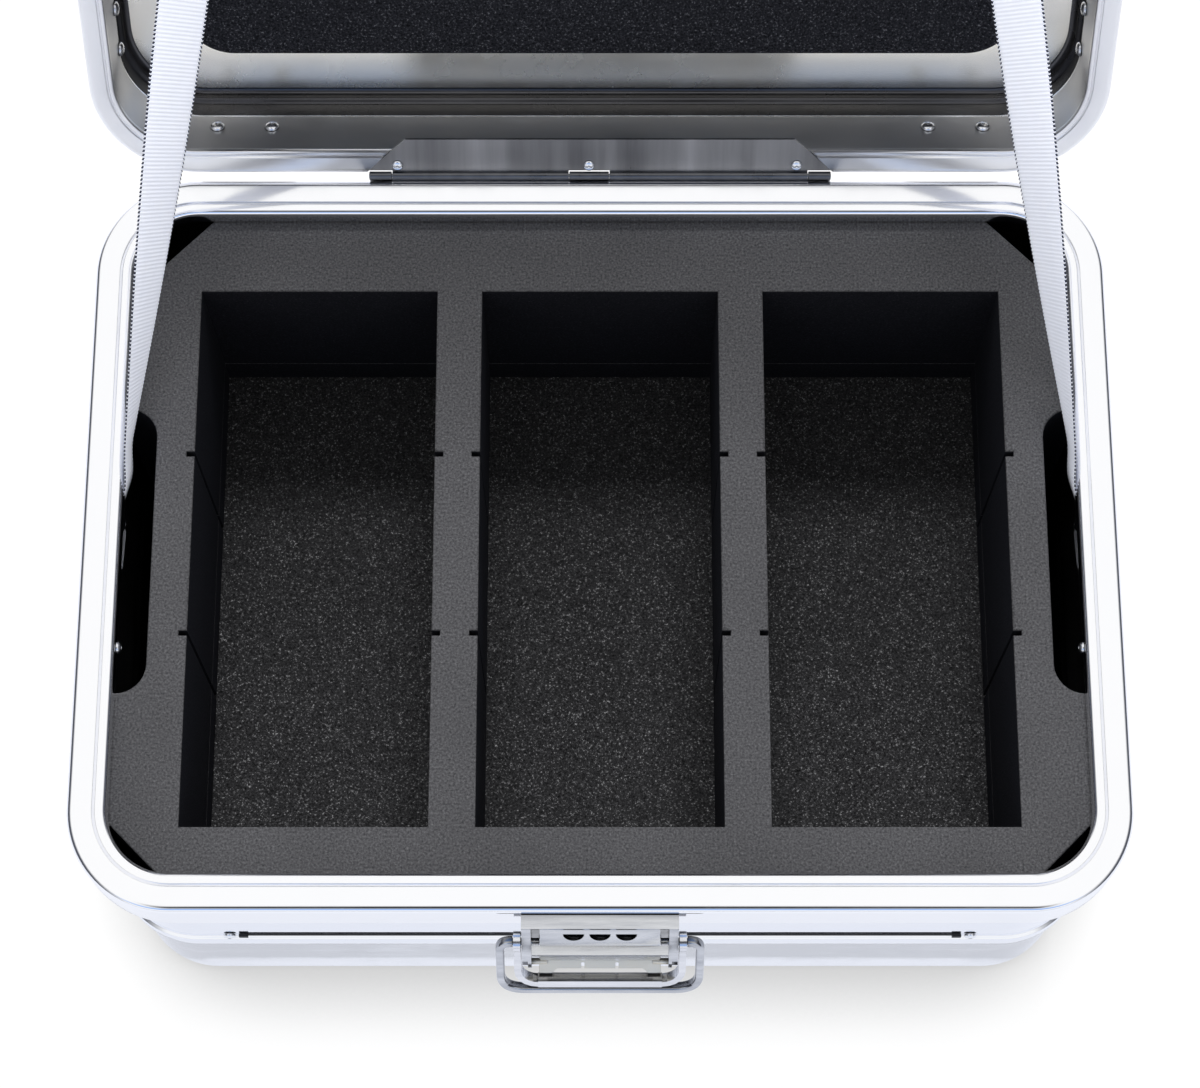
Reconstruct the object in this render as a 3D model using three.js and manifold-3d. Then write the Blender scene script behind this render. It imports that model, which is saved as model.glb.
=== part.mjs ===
// Hard aluminium case with a hinged lid, webbing straps, divided foam and a combination draw latch.
// Millimetres. X runs along the front, Y from the front to the hinge, Z up.
// The origin is the middle of the body's underside, and the lid stands open on its straps.

import * as THREE from 'three';
import { mergeVertices } from 'three/addons/utils/BufferGeometryUtils.js';
import Module from 'manifold-3d';

const wasm = await Module();
wasm.setup();

// Gaps
const seatGap = 0.3;              // between pieces that rest on or beside each other
const turnGap = 0.35;             // round a pin, rivet or stud in its hole
const cutOverrun = 2;             // how far a cutting tool runs past the face it cuts

// Both halves
const rimLength = 450;
const rimDepth = 334;
const rimCornerRadius = 45;
const rimEdgeRadius = 2.4;
const rimSkirtSheet = 2;
const rimFootSheet = 1.8;
const rimChamfer = 0.8;
const rimGrooveWidth = 0.8;
const rimGrooveDepth = 0.8;
const wallInset = 8.5;            // from the rim's outer face to the wall's outer face
const wallSheet = 1.6;
const beadBulge = 2.2;            // how far the stiffening bead stands out of the wall
const beadFlank = 2.6;            // height of each sloping side of the bead

// Body
const bodyHeight = 188;           // floor to the rim's face
const bodyRimWidth = 17;
const bodyRimHeight = 24;
const bodyRimFace = 2.4;
const bodyGrooveInset = 11.3;
const bodyLipSheet = 1.6;
const bodyLipHeight = 8.6;
const bodyFloorRadius = 14;
const bodyBeadTop = 95;           // below the rim's face
const bodyBeadWidth = 15.5;

// Lid
const lidHeight = 56;             // rim's face to the top
const lidRimWidth = 10.8;
const lidRimHeight = 12.5;
const lidRimFace = 4.6;
const lidGrooveInset = 7.8;
const lidTopRadius = 7.5;
const lidBeadStart = 33.5;        // from the rim's face
const lidBeadWidth = 13.5;
const lidClosedGap = 0.4;         // between the two rims when shut
const lidOpenAngle = 120;

// Hinge
const hingeLength = 208;
const hingeBehind = 1.4;          // axis behind the rims' rear faces
const hingeAbove = 1;             // axis above the body rim's face
const hingeBarrelRadius = 1.9;
const hingePinRadius = 0.9;
const hingePinGap = 0.25;
const hingeLeafSheet = 1.2;
const hingeLidLeafReach = 19;     // axis to the free edge
const hingeLidLeafTop = 174;      // length of the free edge
const hingeBodyLeafDrop = 18;
const hingeNotchGap = 0.6;
const knuckleGap = 0.4;
const knuckleShares = [-0.5, -0.45, -0.067, 0.02, 0.45, 0.5];
const hingeRivetShares = [-0.4375, -0.024, 0.4245];
const hingeRivetHeadRadius = 2.6;
const hingeRivetHeadHeight = 1.3;
const hingeRivetInset = 5.3;      // axis to the rivets on the lid leaf
const hingeRivetDrop = 11;        // axis down to the rivets on the body leaf

// Rivets and screws
const rivetHeadRadius = 3.25;
const rivetHeadHeight = 1.9;
const rivetShankRadius = 1.6;
const rivetSegments = 10;
const sideRivetPlace = 116.2;     // rim's outer front face to the rivets in the body rim's lip
const sideRivetDrop = 5.4;        // below the rim's face
const sideRivetHeadRadius = 2.6;
const lidSideRivetPlaces = [48, 69];   // from the hinge axis
const lidSideRivetDepth = 30;     // from the lid rim's face

// Rear feet
const footLength = 42;
const footWidth = 18;
const footCorner = 6;
const footBevel = 1.5;
const footStand = 6;              // how far a foot stands behind the rims
const footEndGap = 64;            // rim's outer side face to the middle of a foot
const footRivetSpacing = 24.7;
const footDepthOnLid = 22;        // from the lid rim's face to the middle of the foot
const footDropOnBody = 50;
const footShankDepth = 7;

// Foam
const foamTopDrop = 9.2;          // below the body rim's face
const foamSideGap = 2.4;           // leaves room for the rivet tails
const foamFrontCut = 31.5;
const foamRearCut = 42;
const foamSeamHeight = 90;        // above the floor
const foamFloorHeight = 71.8;
const bayDivider = 20;
const baySideBorder = 46.45;      // rim's outer side face to the outer bays
const bayFrontBorder = 38.5;      // rim's outer front face to the bays
const bayRearBorder = 50.5;
const slotDepth = 3.7;
const slotWidth = 2.2;
const slotShares = [0.349, 0.684];
const reliefFrontBorder = 97;     // rim's outer front face to the strap reliefs
const reliefRearBorder = 107;
const reliefDepth = 17;
const reliefRadius = 13;
const foamBaseChamfer = 10.6;
const lidPadSideBorder = 37.5;    // rim's outer side face to the pad
const lidPadFrontBorder = 64.4;
const lidPadThickness = 10;
const lidPadStart = 36;           // hinge axis to the pad
const lidPadCorner = 22;

// Front trim strip
const stripEndGap = 64;           // rim's outer side face to the strip's end
const stripThickness = 0.6;
const stripHeight = 2.3;
const stripDrop = 90.8;           // rim's face down to the strip's top edge
const stripBlockWidth = 4;
const stripBlockThickness = 1.5;
const stripBlockOverhang = 0.4;
const stripScrewRadius = 2.7;
const stripScrewHeight = 1.8;
const stripScrewOffset = 4.2;     // block's outer face to the screw's middle

// Straps
const strapWidth = 22;
const strapThickness = 1.4;
const strapEdgeInset = 18;        // rim's outer side face to the strap where it leaves the body
const strapLeavePlace = 128.5;    // rim's outer rear face to where it passes the rim's lip
const strapLeaveDrop = 2.6;
const strapBendPlace = 140;
const strapBendDrop = 17;
const strapWallPlace = 146;
const strapWallDrop = 24;
const strapBodyRivetPlace = 153;
const strapBodyRivetDrop = 32;
const strapTailPlace = 161;
const strapTailDrop = 41;
const strapLidPlace = 84;         // rim's outer side face to the middle of the lid end
const strapLidBorder = 41.4;      // lid rim's outer front face to where it meets the panel
const strapLidTail = 15.4;
const strapLidRivet = 27.4;
const strapTwistShare = 0.6;      // share of the free length in which it turns flat
const strapSteps = 26;

// Latch, measured outwards from the rim's front face and down from the body rim's face
const latchPlateSheet = 2.5;
const latchPlateTop = 4;
const latchPlateBottom = 58;
const latchShelfReach = 6.2;
const latchShelfSheet = 2;
const latchFootHalf = 29;
const earInner = 29.1;
const earOuter = 33;
const earOutline = [[2.4, 5.6], [4.4, 5.6], [15.6, 28], [16, 34], [12, 39], [2.4, 39]];
const tongueSheet = 1.5;          // the ears' lower ends are thin enough to pass inside the lever
const tongueOutline = [[2.4, 30], [15.6, 28], [16.4, 34], [16.2, 40], [14.4, 42.4], [2.4, 42.8]];
const latchRivetPlace = 23;
const latchRivetDrops = [40, 52];

// Lock housing and dials
const lockHalf = 25.3;
const lockWall = 1.2;
const lockBack = 3.1;
const lockTop = 8.5;
const lockTopReach = 5.5;
const lockSlopeReach = 10.8;
const lockFront = 14;
const lockBottom = 34;
const railHalf = 28.7;
const railReach = 14.8;
const railTop = 17;
const railBottom = 20.5;
const windowWidth = 9;
const windowHeight = 4;
const dialPitch = 11.1;
const dialWidth = 8;
const dialRadius = 4.8;
const dialNotchDepth = 0.4;
const dialTeeth = 20;
const dialOut = 8;
const dialDown = 24;
const dialAxleRadius = 1.2;
const boltHalf = 16;
const boltEnd = 24.9;
const boltSize = 2.6;
const boltDown = 31.2;
const studRadius = 1.6;
const studInner = 25.6;

// Lever
const leverPivotOut = 8.1;
const leverPivotDown = 22;
const leverAngle = 29.6;
const leverLength = 25.3;         // pivot to the middle of the cross bar
const leverCheekSheet = 3;
const leverBarWidth = 3.9;
const leverBarDepth = 5;
const leverCorner = 8.5;
const leverEyeRadius = 4.4;
const bailPivotForward = 3.3;     // in the lever's own frame, from its pivot
const bailPivotAbove = 3.9;

// Bail
const bailHalfWidth = 42.3;       // middle of the bar
const bailLength = 34;
const bailBarWidth = 3.6;
const bailBarDepth = 4.4;
const bailTopCorner = 5;
const bailBottomCorner = 10.5;
const bailAngle = 24.7;
const bailStubRadius = 1.5;
const bailStubInset = 2.6;        // how far the stub reaches into the lever's cheek

// Release plate
const releaseOut = 13.2;
const releaseDown = 40;
const releaseAngle = 62;
const releaseHalf = 26;
const releaseBack = 1.5;
const releaseSheet = 1.6;
const releaseFootHalf = 20.5;
const releaseFootReach = 5;
const releaseEdgeHalf = 18.5;
const releaseEdgeReach = 3;
const releaseTabHalf = 6.6;
const releaseSlotWidth = 1.4;
const releaseSlotStart = 0.4;
const releasePinRadius = 1.4;
const releasePinInner = 22.6;
const releasePinOuter = 31;

// Strike on the lid's front
const strikeHalf = 22;
const strikeSheet = 2;
const strikeBottom = 1;
const strikeTop = 31;
const strikeShelf = 12;
const strikeShelfSheet = 2;
const strikeReach = 9.6;
const strikeLipTop = 17.6;
const strikeLipSheet = 1.5;
const strikeRivetPlace = 14;
const strikeRivetRise = 25.5;

// Counts
const cornerSteps = 8;
const floorSteps = 4;
const domeSteps = 3;
const filletSteps = 5;
const pinSegments = 16;

const radians = THREE.MathUtils.degToRad;

// Finishes
const finishes = {
  aluminium: new THREE.MeshStandardMaterial({ color: 0xd4d8de, roughness: 0.34, metalness: 1 }),
  polished: new THREE.MeshStandardMaterial({ color: 0xdfe3e8, roughness: 0.18, metalness: 1 }),
  steel: new THREE.MeshStandardMaterial({ color: 0xb9bcc1, roughness: 0.25, metalness: 1 }),
  foam: new THREE.MeshStandardMaterial({ color: 0x434446, roughness: 0.96, metalness: 0 }),
  coarseFoam: new THREE.MeshStandardMaterial({ color: 0x232324, roughness: 0.98, metalness: 0 }),
  rubber: new THREE.MeshStandardMaterial({ color: 0x141416, roughness: 0.7, metalness: 0 }),
  dial: new THREE.MeshStandardMaterial({ color: 0x2a2b2e, roughness: 0.45, metalness: 0.2 }),
  webbing: new THREE.MeshStandardMaterial({ color: 0xe8e5f0, roughness: 0.85, metalness: 0 }),
};

// A closed body: shared vertices merged, slivers dropped, faces pointing outwards.
function closedBody(source) {
  const bare = source.clone();
  bare.deleteAttribute('normal');
  bare.deleteAttribute('uv');
  const merged = mergeVertices(bare, 1e-4);
  const places = merged.attributes.position;
  const corner = [0, 1, 2].map(() => new THREE.Vector3());
  const kept = [];
  let volume = 0;
  for (let start = 0; start < merged.index.count; start += 3) {
    const triangle = [0, 1, 2].map((step) => merged.index.getX(start + step));
    if (new Set(triangle).size < 3) continue;
    triangle.forEach((vertex, step) => corner[step].fromBufferAttribute(places, vertex));
    volume += corner[0].dot(corner[1].clone().cross(corner[2]));
    kept.push(...triangle);
  }
  if (volume < 0) kept.reverse();
  merged.setIndex(kept);
  return merged;
}

function toManifold(geometry) {
  const body = closedBody(geometry);
  return new wasm.Manifold(new wasm.Mesh({
    numProp: 3,
    vertProperties: new Float32Array(body.attributes.position.array),
    triVerts: new Uint32Array(body.index.array),
  }));
}

// Joins the first list of bodies and cuts the second from the result.
function shaped(joined, cuts = []) {
  let solid = toManifold(joined[0]);
  for (const geometry of joined.slice(1)) solid = solid.add(toManifold(geometry));
  for (const geometry of cuts) solid = solid.subtract(toManifold(geometry));
  const mesh = solid.getMesh();
  const geometry = new THREE.BufferGeometry();
  geometry.setAttribute('position', new THREE.BufferAttribute(mesh.vertProperties, 3));
  geometry.setIndex(Array.from(mesh.triVerts));
  return geometry;
}

function piece(name, geometry, finish, parent) {
  const body = closedBody(geometry);
  body.computeVertexNormals();
  const mesh = new THREE.Mesh(body, finishes[finish]);
  mesh.name = name;
  parent.add(mesh);
  return mesh;
}

// Skins a list of loops with equal point counts. A ring joins its last loop to its first.
function skinned(loops, ring = false) {
  const count = loops[0].length;
  const places = loops.flat().flatMap((point) => [point.x, point.y, point.z]);
  const index = [];
  const bands = ring ? loops.length : loops.length - 1;
  for (let band = 0; band < bands; band += 1) {
    const low = band * count;
    const high = ((band + 1) % loops.length) * count;
    for (let step = 0; step < count; step += 1) {
      const next = (step + 1) % count;
      index.push(low + step, low + next, high + next, low + step, high + next, high + step);
    }
  }
  if (!ring) {
    const last = (loops.length - 1) * count;
    for (let step = 1; step < count - 1; step += 1) {
      index.push(0, step + 1, step, last, last + step, last + step + 1);
    }
  }
  const geometry = new THREE.BufferGeometry();
  geometry.setAttribute('position', new THREE.Float32BufferAttribute(places, 3));
  geometry.setIndex(index);
  return geometry;
}

// The rims' outline moved inwards by an inset, at a height.
function caseLoop([inset, height]) {
  const radius = rimCornerRadius - inset;
  const halfLength = rimLength / 2 - rimCornerRadius;
  const halfDepth = rimDepth / 2 - rimCornerRadius;
  const signs = [[1, 1], [-1, 1], [-1, -1], [1, -1]];
  return signs.flatMap(([sx, sy], quarter) => Array.from({ length: cornerSteps + 1 }, (_, step) => {
    const angle = (quarter + step / cornerSteps) * Math.PI / 2;
    return new THREE.Vector3(
      sx * halfLength + radius * Math.cos(angle),
      sy * halfDepth + radius * Math.sin(angle),
      height,
    );
  }));
}

// A rounded rectangle centred on the origin.
function roundedRectangle(length, depth, radius) {
  const shape = new THREE.Shape();
  const x = length / 2;
  const y = depth / 2;
  shape.moveTo(-x + radius, -y);
  shape.lineTo(x - radius, -y);
  shape.absarc(x - radius, -y + radius, radius, -Math.PI / 2, 0, false);
  shape.lineTo(x, y - radius);
  shape.absarc(x - radius, y - radius, radius, 0, Math.PI / 2, false);
  shape.lineTo(-x + radius, y);
  shape.absarc(-x + radius, y - radius, radius, Math.PI / 2, Math.PI, false);
  shape.lineTo(-x, -y + radius);
  shape.absarc(-x + radius, -y + radius, radius, Math.PI, Math.PI * 1.5, false);
  return shape;
}

function raised(shape, bottom, top) {
  const geometry = new THREE.ExtrudeGeometry(shape, {
    depth: top - bottom,
    bevelEnabled: false,
    curveSegments: filletSteps,
  });
  return geometry.translate(0, 0, bottom);
}

function box(x0, x1, y0, y1, z0, z1) {
  const geometry = new THREE.BoxGeometry(x1 - x0, y1 - y0, z1 - z0);
  return geometry.translate((x0 + x1) / 2, (y0 + y1) / 2, (z0 + z1) / 2);
}

// A box in the latch's own terms: across, outwards and down.
function latchBox(x0, x1, out0, out1, down0, down1) {
  return box(x0, x1, -out1, -out0, -down1, -down0);
}

// An outline of [Y, Z] points extruded along X.
function alongX(points, x0, x1) {
  const shape = new THREE.Shape(points.map(([y, z]) => new THREE.Vector2(y, z)));
  const geometry = new THREE.ExtrudeGeometry(shape, { depth: x1 - x0, bevelEnabled: false });
  const turn = new THREE.Matrix4().makeBasis(
    new THREE.Vector3(0, 1, 0),
    new THREE.Vector3(0, 0, 1),
    new THREE.Vector3(1, 0, 0),
  );
  return geometry.applyMatrix4(turn).translate(x0, 0, 0);
}

// The same for an outline of [outwards, down] points on the latch.
function latchProfile(points, x0, x1) {
  return alongX(points.map(([out, down]) => [-out, -down]), x0, x1);
}

function rodAlongX(radius, x0, x1, y = 0, z = 0, segments = pinSegments) {
  const rod = new THREE.CylinderGeometry(radius, radius, x1 - x0, segments);
  return rod.rotateZ(Math.PI / 2).translate((x0 + x1) / 2, y, z);
}

function mirrored(make) {
  return [make(1), make(-1)];
}

function sideName(sign) {
  return sign > 0 ? 'right' : 'left';
}

// Points from x0 to x1 on the side given by the sign, low end first.
function sided(sign, inner, outer) {
  return sign > 0 ? [inner, outer] : [-outer, -inner];
}

// A domed rivet. Its head's underside is at the origin, the head points along +Z and the shank down.
// With a tail it has a second head at the far end of its grip.
function rivet(grip, tail, headRadius = rivetHeadRadius, headHeight = rivetHeadHeight, shank = rivetShankRadius) {
  const dome = Array.from({ length: domeSteps + 1 }, (_, step) => {
    const angle = step / domeSteps * Math.PI / 2;
    return [headRadius * Math.cos(angle), headHeight * Math.sin(angle)];
  });
  dome[domeSteps][0] = 0;
  const head = [[shank, 0], ...dome];
  const foot = tail
    ? head.map(([radius, height]) => [radius, -grip - height]).reverse()
    : [[0, -grip], [shank, -grip]];
  const profile = [...foot, ...head].map(([radius, height]) => new THREE.Vector2(radius, height));
  return new THREE.LatheGeometry(profile, rivetSegments).rotateX(Math.PI / 2);
}

// Turns a rivet or rod made along +Z to point along a direction, at a place.
function aimed(geometry, direction, place) {
  const turn = new THREE.Quaternion().setFromUnitVectors(new THREE.Vector3(0, 0, 1), direction);
  return geometry.applyQuaternion(turn).translate(place.x, place.y, place.z);
}

function hole(direction, place, length, radius = rivetShankRadius + turnGap) {
  const rod = new THREE.CylinderGeometry(radius, radius, length, rivetSegments).rotateX(Math.PI / 2);
  return aimed(rod, direction, place);
}

const toRight = new THREE.Vector3(1, 0, 0);
const toLeft = new THREE.Vector3(-1, 0, 0);
const toFront = new THREE.Vector3(0, -1, 0);
const toRear = new THREE.Vector3(0, 1, 0);
const upwards = new THREE.Vector3(0, 0, 1);
const downwards = new THREE.Vector3(0, 0, -1);

const halfLength = rimLength / 2;
const halfDepth = rimDepth / 2;
const innerInset = wallInset + wallSheet;
const lidReach = rimDepth + hingeBehind;            // hinge axis to the lid rim's front face
const footPlace = halfLength - footEndGap;
const stripLength = rimLength - stripEndGap * 2;

// Body shell and rim

function bodyShellLoops() {
  const top = bodyHeight - bodyRimFace - seatGap;
  const beadTop = bodyHeight - bodyBeadTop;
  const beadBottom = beadTop - bodyBeadWidth;
  const wall = (inset) => [
    [inset, beadBottom],
    [inset - beadBulge, beadBottom + beadFlank],
    [inset - beadBulge, beadTop - beadFlank],
    [inset, beadTop],
    [inset, top],
  ];
  const floorArc = (inset, radius) => Array.from({ length: floorSteps + 1 }, (_, step) => {
    const angle = step / floorSteps * Math.PI / 2;
    return [inset + radius * (1 - Math.sin(angle)), bodyFloorRadius - radius * Math.cos(angle)];
  });
  const outside = [...floorArc(wallInset, bodyFloorRadius), ...wall(wallInset)];
  const inside = [...floorArc(innerInset, bodyFloorRadius - wallSheet), ...wall(innerInset)];
  return [...outside, ...inside.reverse()].map(caseLoop);
}

const bodyRimSection = [
  [0, -bodyRimHeight],
  [0, -rimEdgeRadius],
  [rimEdgeRadius * (1 - Math.SQRT1_2), -rimEdgeRadius * (1 - Math.SQRT1_2)],
  [rimEdgeRadius, 0],
  [bodyGrooveInset, 0],
  [bodyGrooveInset, -rimGrooveDepth],
  [bodyGrooveInset + rimGrooveWidth, -rimGrooveDepth],
  [bodyGrooveInset + rimGrooveWidth, 0],
  [bodyRimWidth - rimChamfer, 0],
  [bodyRimWidth, -rimChamfer],
  [bodyRimWidth, -bodyLipHeight],
  [bodyRimWidth - bodyLipSheet, -bodyLipHeight],
  [bodyRimWidth - bodyLipSheet, -bodyRimFace],
  [rimSkirtSheet, -bodyRimFace],
  [rimSkirtSheet, rimFootSheet - bodyRimHeight],
  [wallInset - seatGap, rimFootSheet - bodyRimHeight],
  [wallInset - seatGap, -bodyRimHeight],
];

const lidRimSection = [
  [rimEdgeRadius, 0],
  [rimEdgeRadius * (1 - Math.SQRT1_2), rimEdgeRadius * (1 - Math.SQRT1_2)],
  [0, rimEdgeRadius],
  [0, lidRimHeight],
  [wallInset - seatGap, lidRimHeight],
  [wallInset - seatGap, lidRimHeight - rimFootSheet],
  [rimSkirtSheet, lidRimHeight - rimFootSheet],
  [rimSkirtSheet, lidRimFace],
  [lidRimWidth, lidRimFace],
  [lidRimWidth, rimChamfer],
  [lidRimWidth - rimChamfer, 0],
  [lidGrooveInset + rimGrooveWidth, 0],
  [lidGrooveInset + rimGrooveWidth, rimGrooveDepth],
  [lidGrooveInset, rimGrooveDepth],
  [lidGrooveInset, 0],
];

// Places of the hinge, in body terms
const hingeY = halfDepth + hingeBehind;
const hingeZ = bodyHeight + hingeAbove;
const hingeRivetXs = hingeRivetShares.map((share) => share * hingeLength);

function hingeNotch(y, z) {
  const reach = hingeLength / 2 + hingeNotchGap;
  return rodAlongX(hingeBarrelRadius + hingeNotchGap, -reach, reach, y, z);
}

// Rivets in the body: each has a place on an inner face and points into the case.
const sideRivetSpots = mirrored((sign) => ({
  label: sideName(sign),
  place: new THREE.Vector3(
    sign * (halfLength - bodyRimWidth - seatGap),
    sideRivetPlace - halfDepth,
    bodyHeight - sideRivetDrop,
  ),
  into: sign > 0 ? toLeft : toRight,
}));

const strapRivetSpots = mirrored((sign) => ({
  label: sideName(sign),
  place: new THREE.Vector3(
    sign * (halfLength - innerInset - seatGap * 2 - strapThickness),
    halfDepth - strapBodyRivetPlace,
    bodyHeight - strapBodyRivetDrop,
  ),
  into: sign > 0 ? toLeft : toRight,
}));

const bodyFootRivetSpots = mirrored((sign) => mirrored((side) => ({
  place: new THREE.Vector3(
    sign * footPlace + side * footRivetSpacing / 2,
    halfDepth - innerInset - seatGap,
    bodyHeight - footDropOnBody,
  ),
  into: toFront,
}))).flat();

const latchRivetSpots = mirrored((sign) => latchRivetDrops.map((drop, row) => ({
  label: `${sideName(sign)}_${row ? 'lower' : 'upper'}`,
  place: new THREE.Vector3(
    sign * latchRivetPlace,
    -halfDepth - seatGap * 2 - latchPlateSheet,
    bodyHeight - drop,
  ),
  into: toFront,
}))).flat();

const footRivetGrip = wallSheet + seatGap + footShankDepth;
const strapBodyGrip = strapThickness + wallSheet + seatGap * 3;
const strapLidGrip = strapThickness + wallSheet + seatGap * 3;
const strikeRivetGrip = strikeSheet + wallInset + wallSheet + seatGap * 3;
const latchRivetGrip = latchPlateSheet + wallInset + wallSheet + seatGap * 3;
const sideRivetGrip = bodyLipSheet + seatGap * 2;
const lipHoleLength = (bodyLipSheet + seatGap + cutOverrun) * 2;

function cutsFor(spots, length) {
  return spots.map(({ into, place }) => hole(into, place, length));
}

function makeBodyShell() {
  const screwHoles = mirrored((sign) => hole(
    toFront,
    new THREE.Vector3(sign * stripScrewPlace, -stripBack, stripMiddle),
    rimCornerRadius,
    stripHoleRadius,
  ));
  return shaped([skinned(bodyShellLoops())], [
    ...screwHoles,
    ...cutsFor(strapRivetSpots, rimCornerRadius),
    ...cutsFor(bodyFootRivetSpots, rimCornerRadius),
    ...cutsFor(latchRivetSpots, rimCornerRadius),
  ]);
}

function makeBodyRim() {
  const ring = skinned(bodyRimSection.map(([inset, height]) => caseLoop([inset, bodyHeight + height])), true);
  const rearHoles = hingeRivetXs.map((x) => hole(
    toRear,
    new THREE.Vector3(x, halfDepth, hingeZ - hingeRivetDrop),
    rimSkirtSheet * 2 + cutOverrun,
  ));
  return shaped([ring], [
    hingeNotch(hingeY, hingeZ),
    ...rearHoles,
    ...cutsFor(sideRivetSpots, lipHoleLength),
    ...cutsFor(strapRivetSpots, rimCornerRadius),
  ]);
}

// Foam

const foamHalfLength = halfLength - innerInset - foamSideGap;
const foamHalfDepth = halfDepth - innerInset - foamSideGap;
const foamTop = bodyHeight - foamTopDrop;

// Outer outline of the cut layers: cut corners, and a relief in each short side for the straps.
function foamOutline() {
  const x = foamHalfLength;
  const y = foamHalfDepth;
  const start = reliefFrontBorder - halfDepth;
  const end = halfDepth - reliefRearBorder;
  const inner = x - reliefDepth;
  const shape = new THREE.Shape();
  shape.moveTo(-x + foamFrontCut, -y);
  shape.lineTo(x - foamFrontCut, -y);
  shape.lineTo(x, -y + foamFrontCut);
  shape.lineTo(x, start);
  shape.lineTo(inner + reliefRadius, start);
  shape.absarc(inner + reliefRadius, start + reliefRadius, reliefRadius, -Math.PI / 2, -Math.PI, true);
  shape.lineTo(inner, end - reliefRadius);
  shape.absarc(inner + reliefRadius, end - reliefRadius, reliefRadius, Math.PI, Math.PI / 2, true);
  shape.lineTo(x, end);
  shape.lineTo(x, y - foamRearCut);
  shape.lineTo(x - foamRearCut, y);
  shape.lineTo(-x + foamRearCut, y);
  shape.lineTo(-x, y - foamRearCut);
  shape.lineTo(-x, end);
  shape.lineTo(-inner - reliefRadius, end);
  shape.absarc(-inner - reliefRadius, end - reliefRadius, reliefRadius, Math.PI / 2, 0, true);
  shape.lineTo(-inner, start + reliefRadius);
  shape.absarc(-inner - reliefRadius, start + reliefRadius, reliefRadius, 0, -Math.PI / 2, true);
  shape.lineTo(-x, start);
  shape.lineTo(-x, -y + foamFrontCut);
  return shape;
}

const bayWidth = (rimLength - baySideBorder * 2 - bayDivider * 2) / 3;
const bayLength = rimDepth - bayFrontBorder - bayRearBorder;

// One bay with its pairs of divider slots.
function bayOutline(middle) {
  const left = middle - bayWidth / 2;
  const right = middle + bayWidth / 2;
  const front = bayFrontBorder - halfDepth;
  const rear = front + bayLength;
  const centres = slotShares.map((share) => front + share * bayLength);
  const path = new THREE.Shape();
  path.moveTo(left, front);
  path.lineTo(right, front);
  for (const centre of centres) {
    path.lineTo(right, centre - slotWidth / 2);
    path.lineTo(right + slotDepth, centre - slotWidth / 2);
    path.lineTo(right + slotDepth, centre + slotWidth / 2);
    path.lineTo(right, centre + slotWidth / 2);
  }
  path.lineTo(right, rear);
  path.lineTo(left, rear);
  for (const centre of [...centres].reverse()) {
    path.lineTo(left, centre + slotWidth / 2);
    path.lineTo(left - slotDepth, centre + slotWidth / 2);
    path.lineTo(left - slotDepth, centre - slotWidth / 2);
    path.lineTo(left, centre - slotWidth / 2);
  }
  path.lineTo(left, front);
  return path;
}

function makeFoamLayer(bottom, top) {
  const bays = [-1, 0, 1].map((step) => {
    return raised(bayOutline(step * (bayWidth + bayDivider)), bottom - cutOverrun, top + cutOverrun);
  });
  return shaped([raised(foamOutline(), bottom, top)], bays);
}

function makeFoamBase() {
  const inset = innerInset + foamSideGap;
  return skinned([
    caseLoop([inset + foamBaseChamfer, wallSheet + seatGap]),
    caseLoop([inset, wallSheet + seatGap + foamBaseChamfer]),
    caseLoop([inset, foamFloorHeight]),
  ]);
}

// Front trim strip on the wall

const stripBack = halfDepth - wallInset + seatGap;
const stripTop = bodyHeight - stripDrop;
const stripMiddle = stripTop - stripHeight / 2;
const stripScrewPlace = stripLength / 2 + stripScrewOffset;
const stripScrewGrip = wallSheet + seatGap;
const stripHoleRadius = stripScrewRadius / 2 + turnGap;

// A thin strip with a thick block moulded at each end.
function makeStrip() {
  const blocks = mirrored((sign) => {
    const [x0, x1] = sided(sign, stripLength / 2 - stripBlockWidth, stripLength / 2);
    return box(
      x0, x1,
      -stripBack - stripBlockThickness, -stripBack,
      stripTop - stripHeight - stripBlockOverhang, stripTop + stripBlockOverhang,
    );
  });
  const reach = stripLength / 2 - stripBlockWidth / 2;
  const strip = box(-reach, reach, -stripBack - stripThickness, -stripBack, stripTop - stripHeight, stripTop);
  return shaped([strip, ...blocks]);
}

function makeStripScrew(sign) {
  return aimed(
    rivet(stripScrewGrip, false, stripScrewRadius, stripScrewHeight, stripScrewRadius / 2),
    toFront,
    new THREE.Vector3(sign * stripScrewPlace, -stripBack - seatGap, stripMiddle),
  );
}

// Rear feet, standing out past the hinge so that the case can rest on its back

function footBlock(x, z) {
  const shape = roundedRectangle(footLength - footBevel * 2, footWidth - footBevel * 2, footCorner - footBevel);
  const depth = wallInset - seatGap + footStand;
  const block = new THREE.ExtrudeGeometry(shape, {
    depth: depth - footBevel * 2,
    bevelThickness: footBevel,
    bevelSize: footBevel,
    bevelSegments: 1,
    curveSegments: filletSteps,
  });
  block.rotateX(-Math.PI / 2);
  return block.translate(x, halfDepth - wallInset + seatGap + footBevel, z);
}

// The body's feet have their stems moulded on; the lid's feet are riveted.
function makeBodyFoot(sign) {
  const x = sign * footPlace;
  const block = footBlock(x, bodyHeight - footDropOnBody);
  const stems = bodyFootRivetSpots
    .filter(({ place }) => place.x * sign > 0)
    .map(({ into, place }) => aimed(rivet(innerInset, false), into, place));
  return shaped([block, ...stems]);
}

function makeLidFoot(sign) {
  const x = sign * footPlace;
  const cuts = mirrored((side) => hole(
    toRear,
    new THREE.Vector3(x + side * footRivetSpacing / 2, halfDepth - wallInset, 0),
    (footShankDepth + seatGap) * 2,
  ));
  return shaped([footBlock(x, 0)], cuts).translate(0, lidMiddle, lidFaceRise + footDepthOnLid);
}

// Hinge

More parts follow.
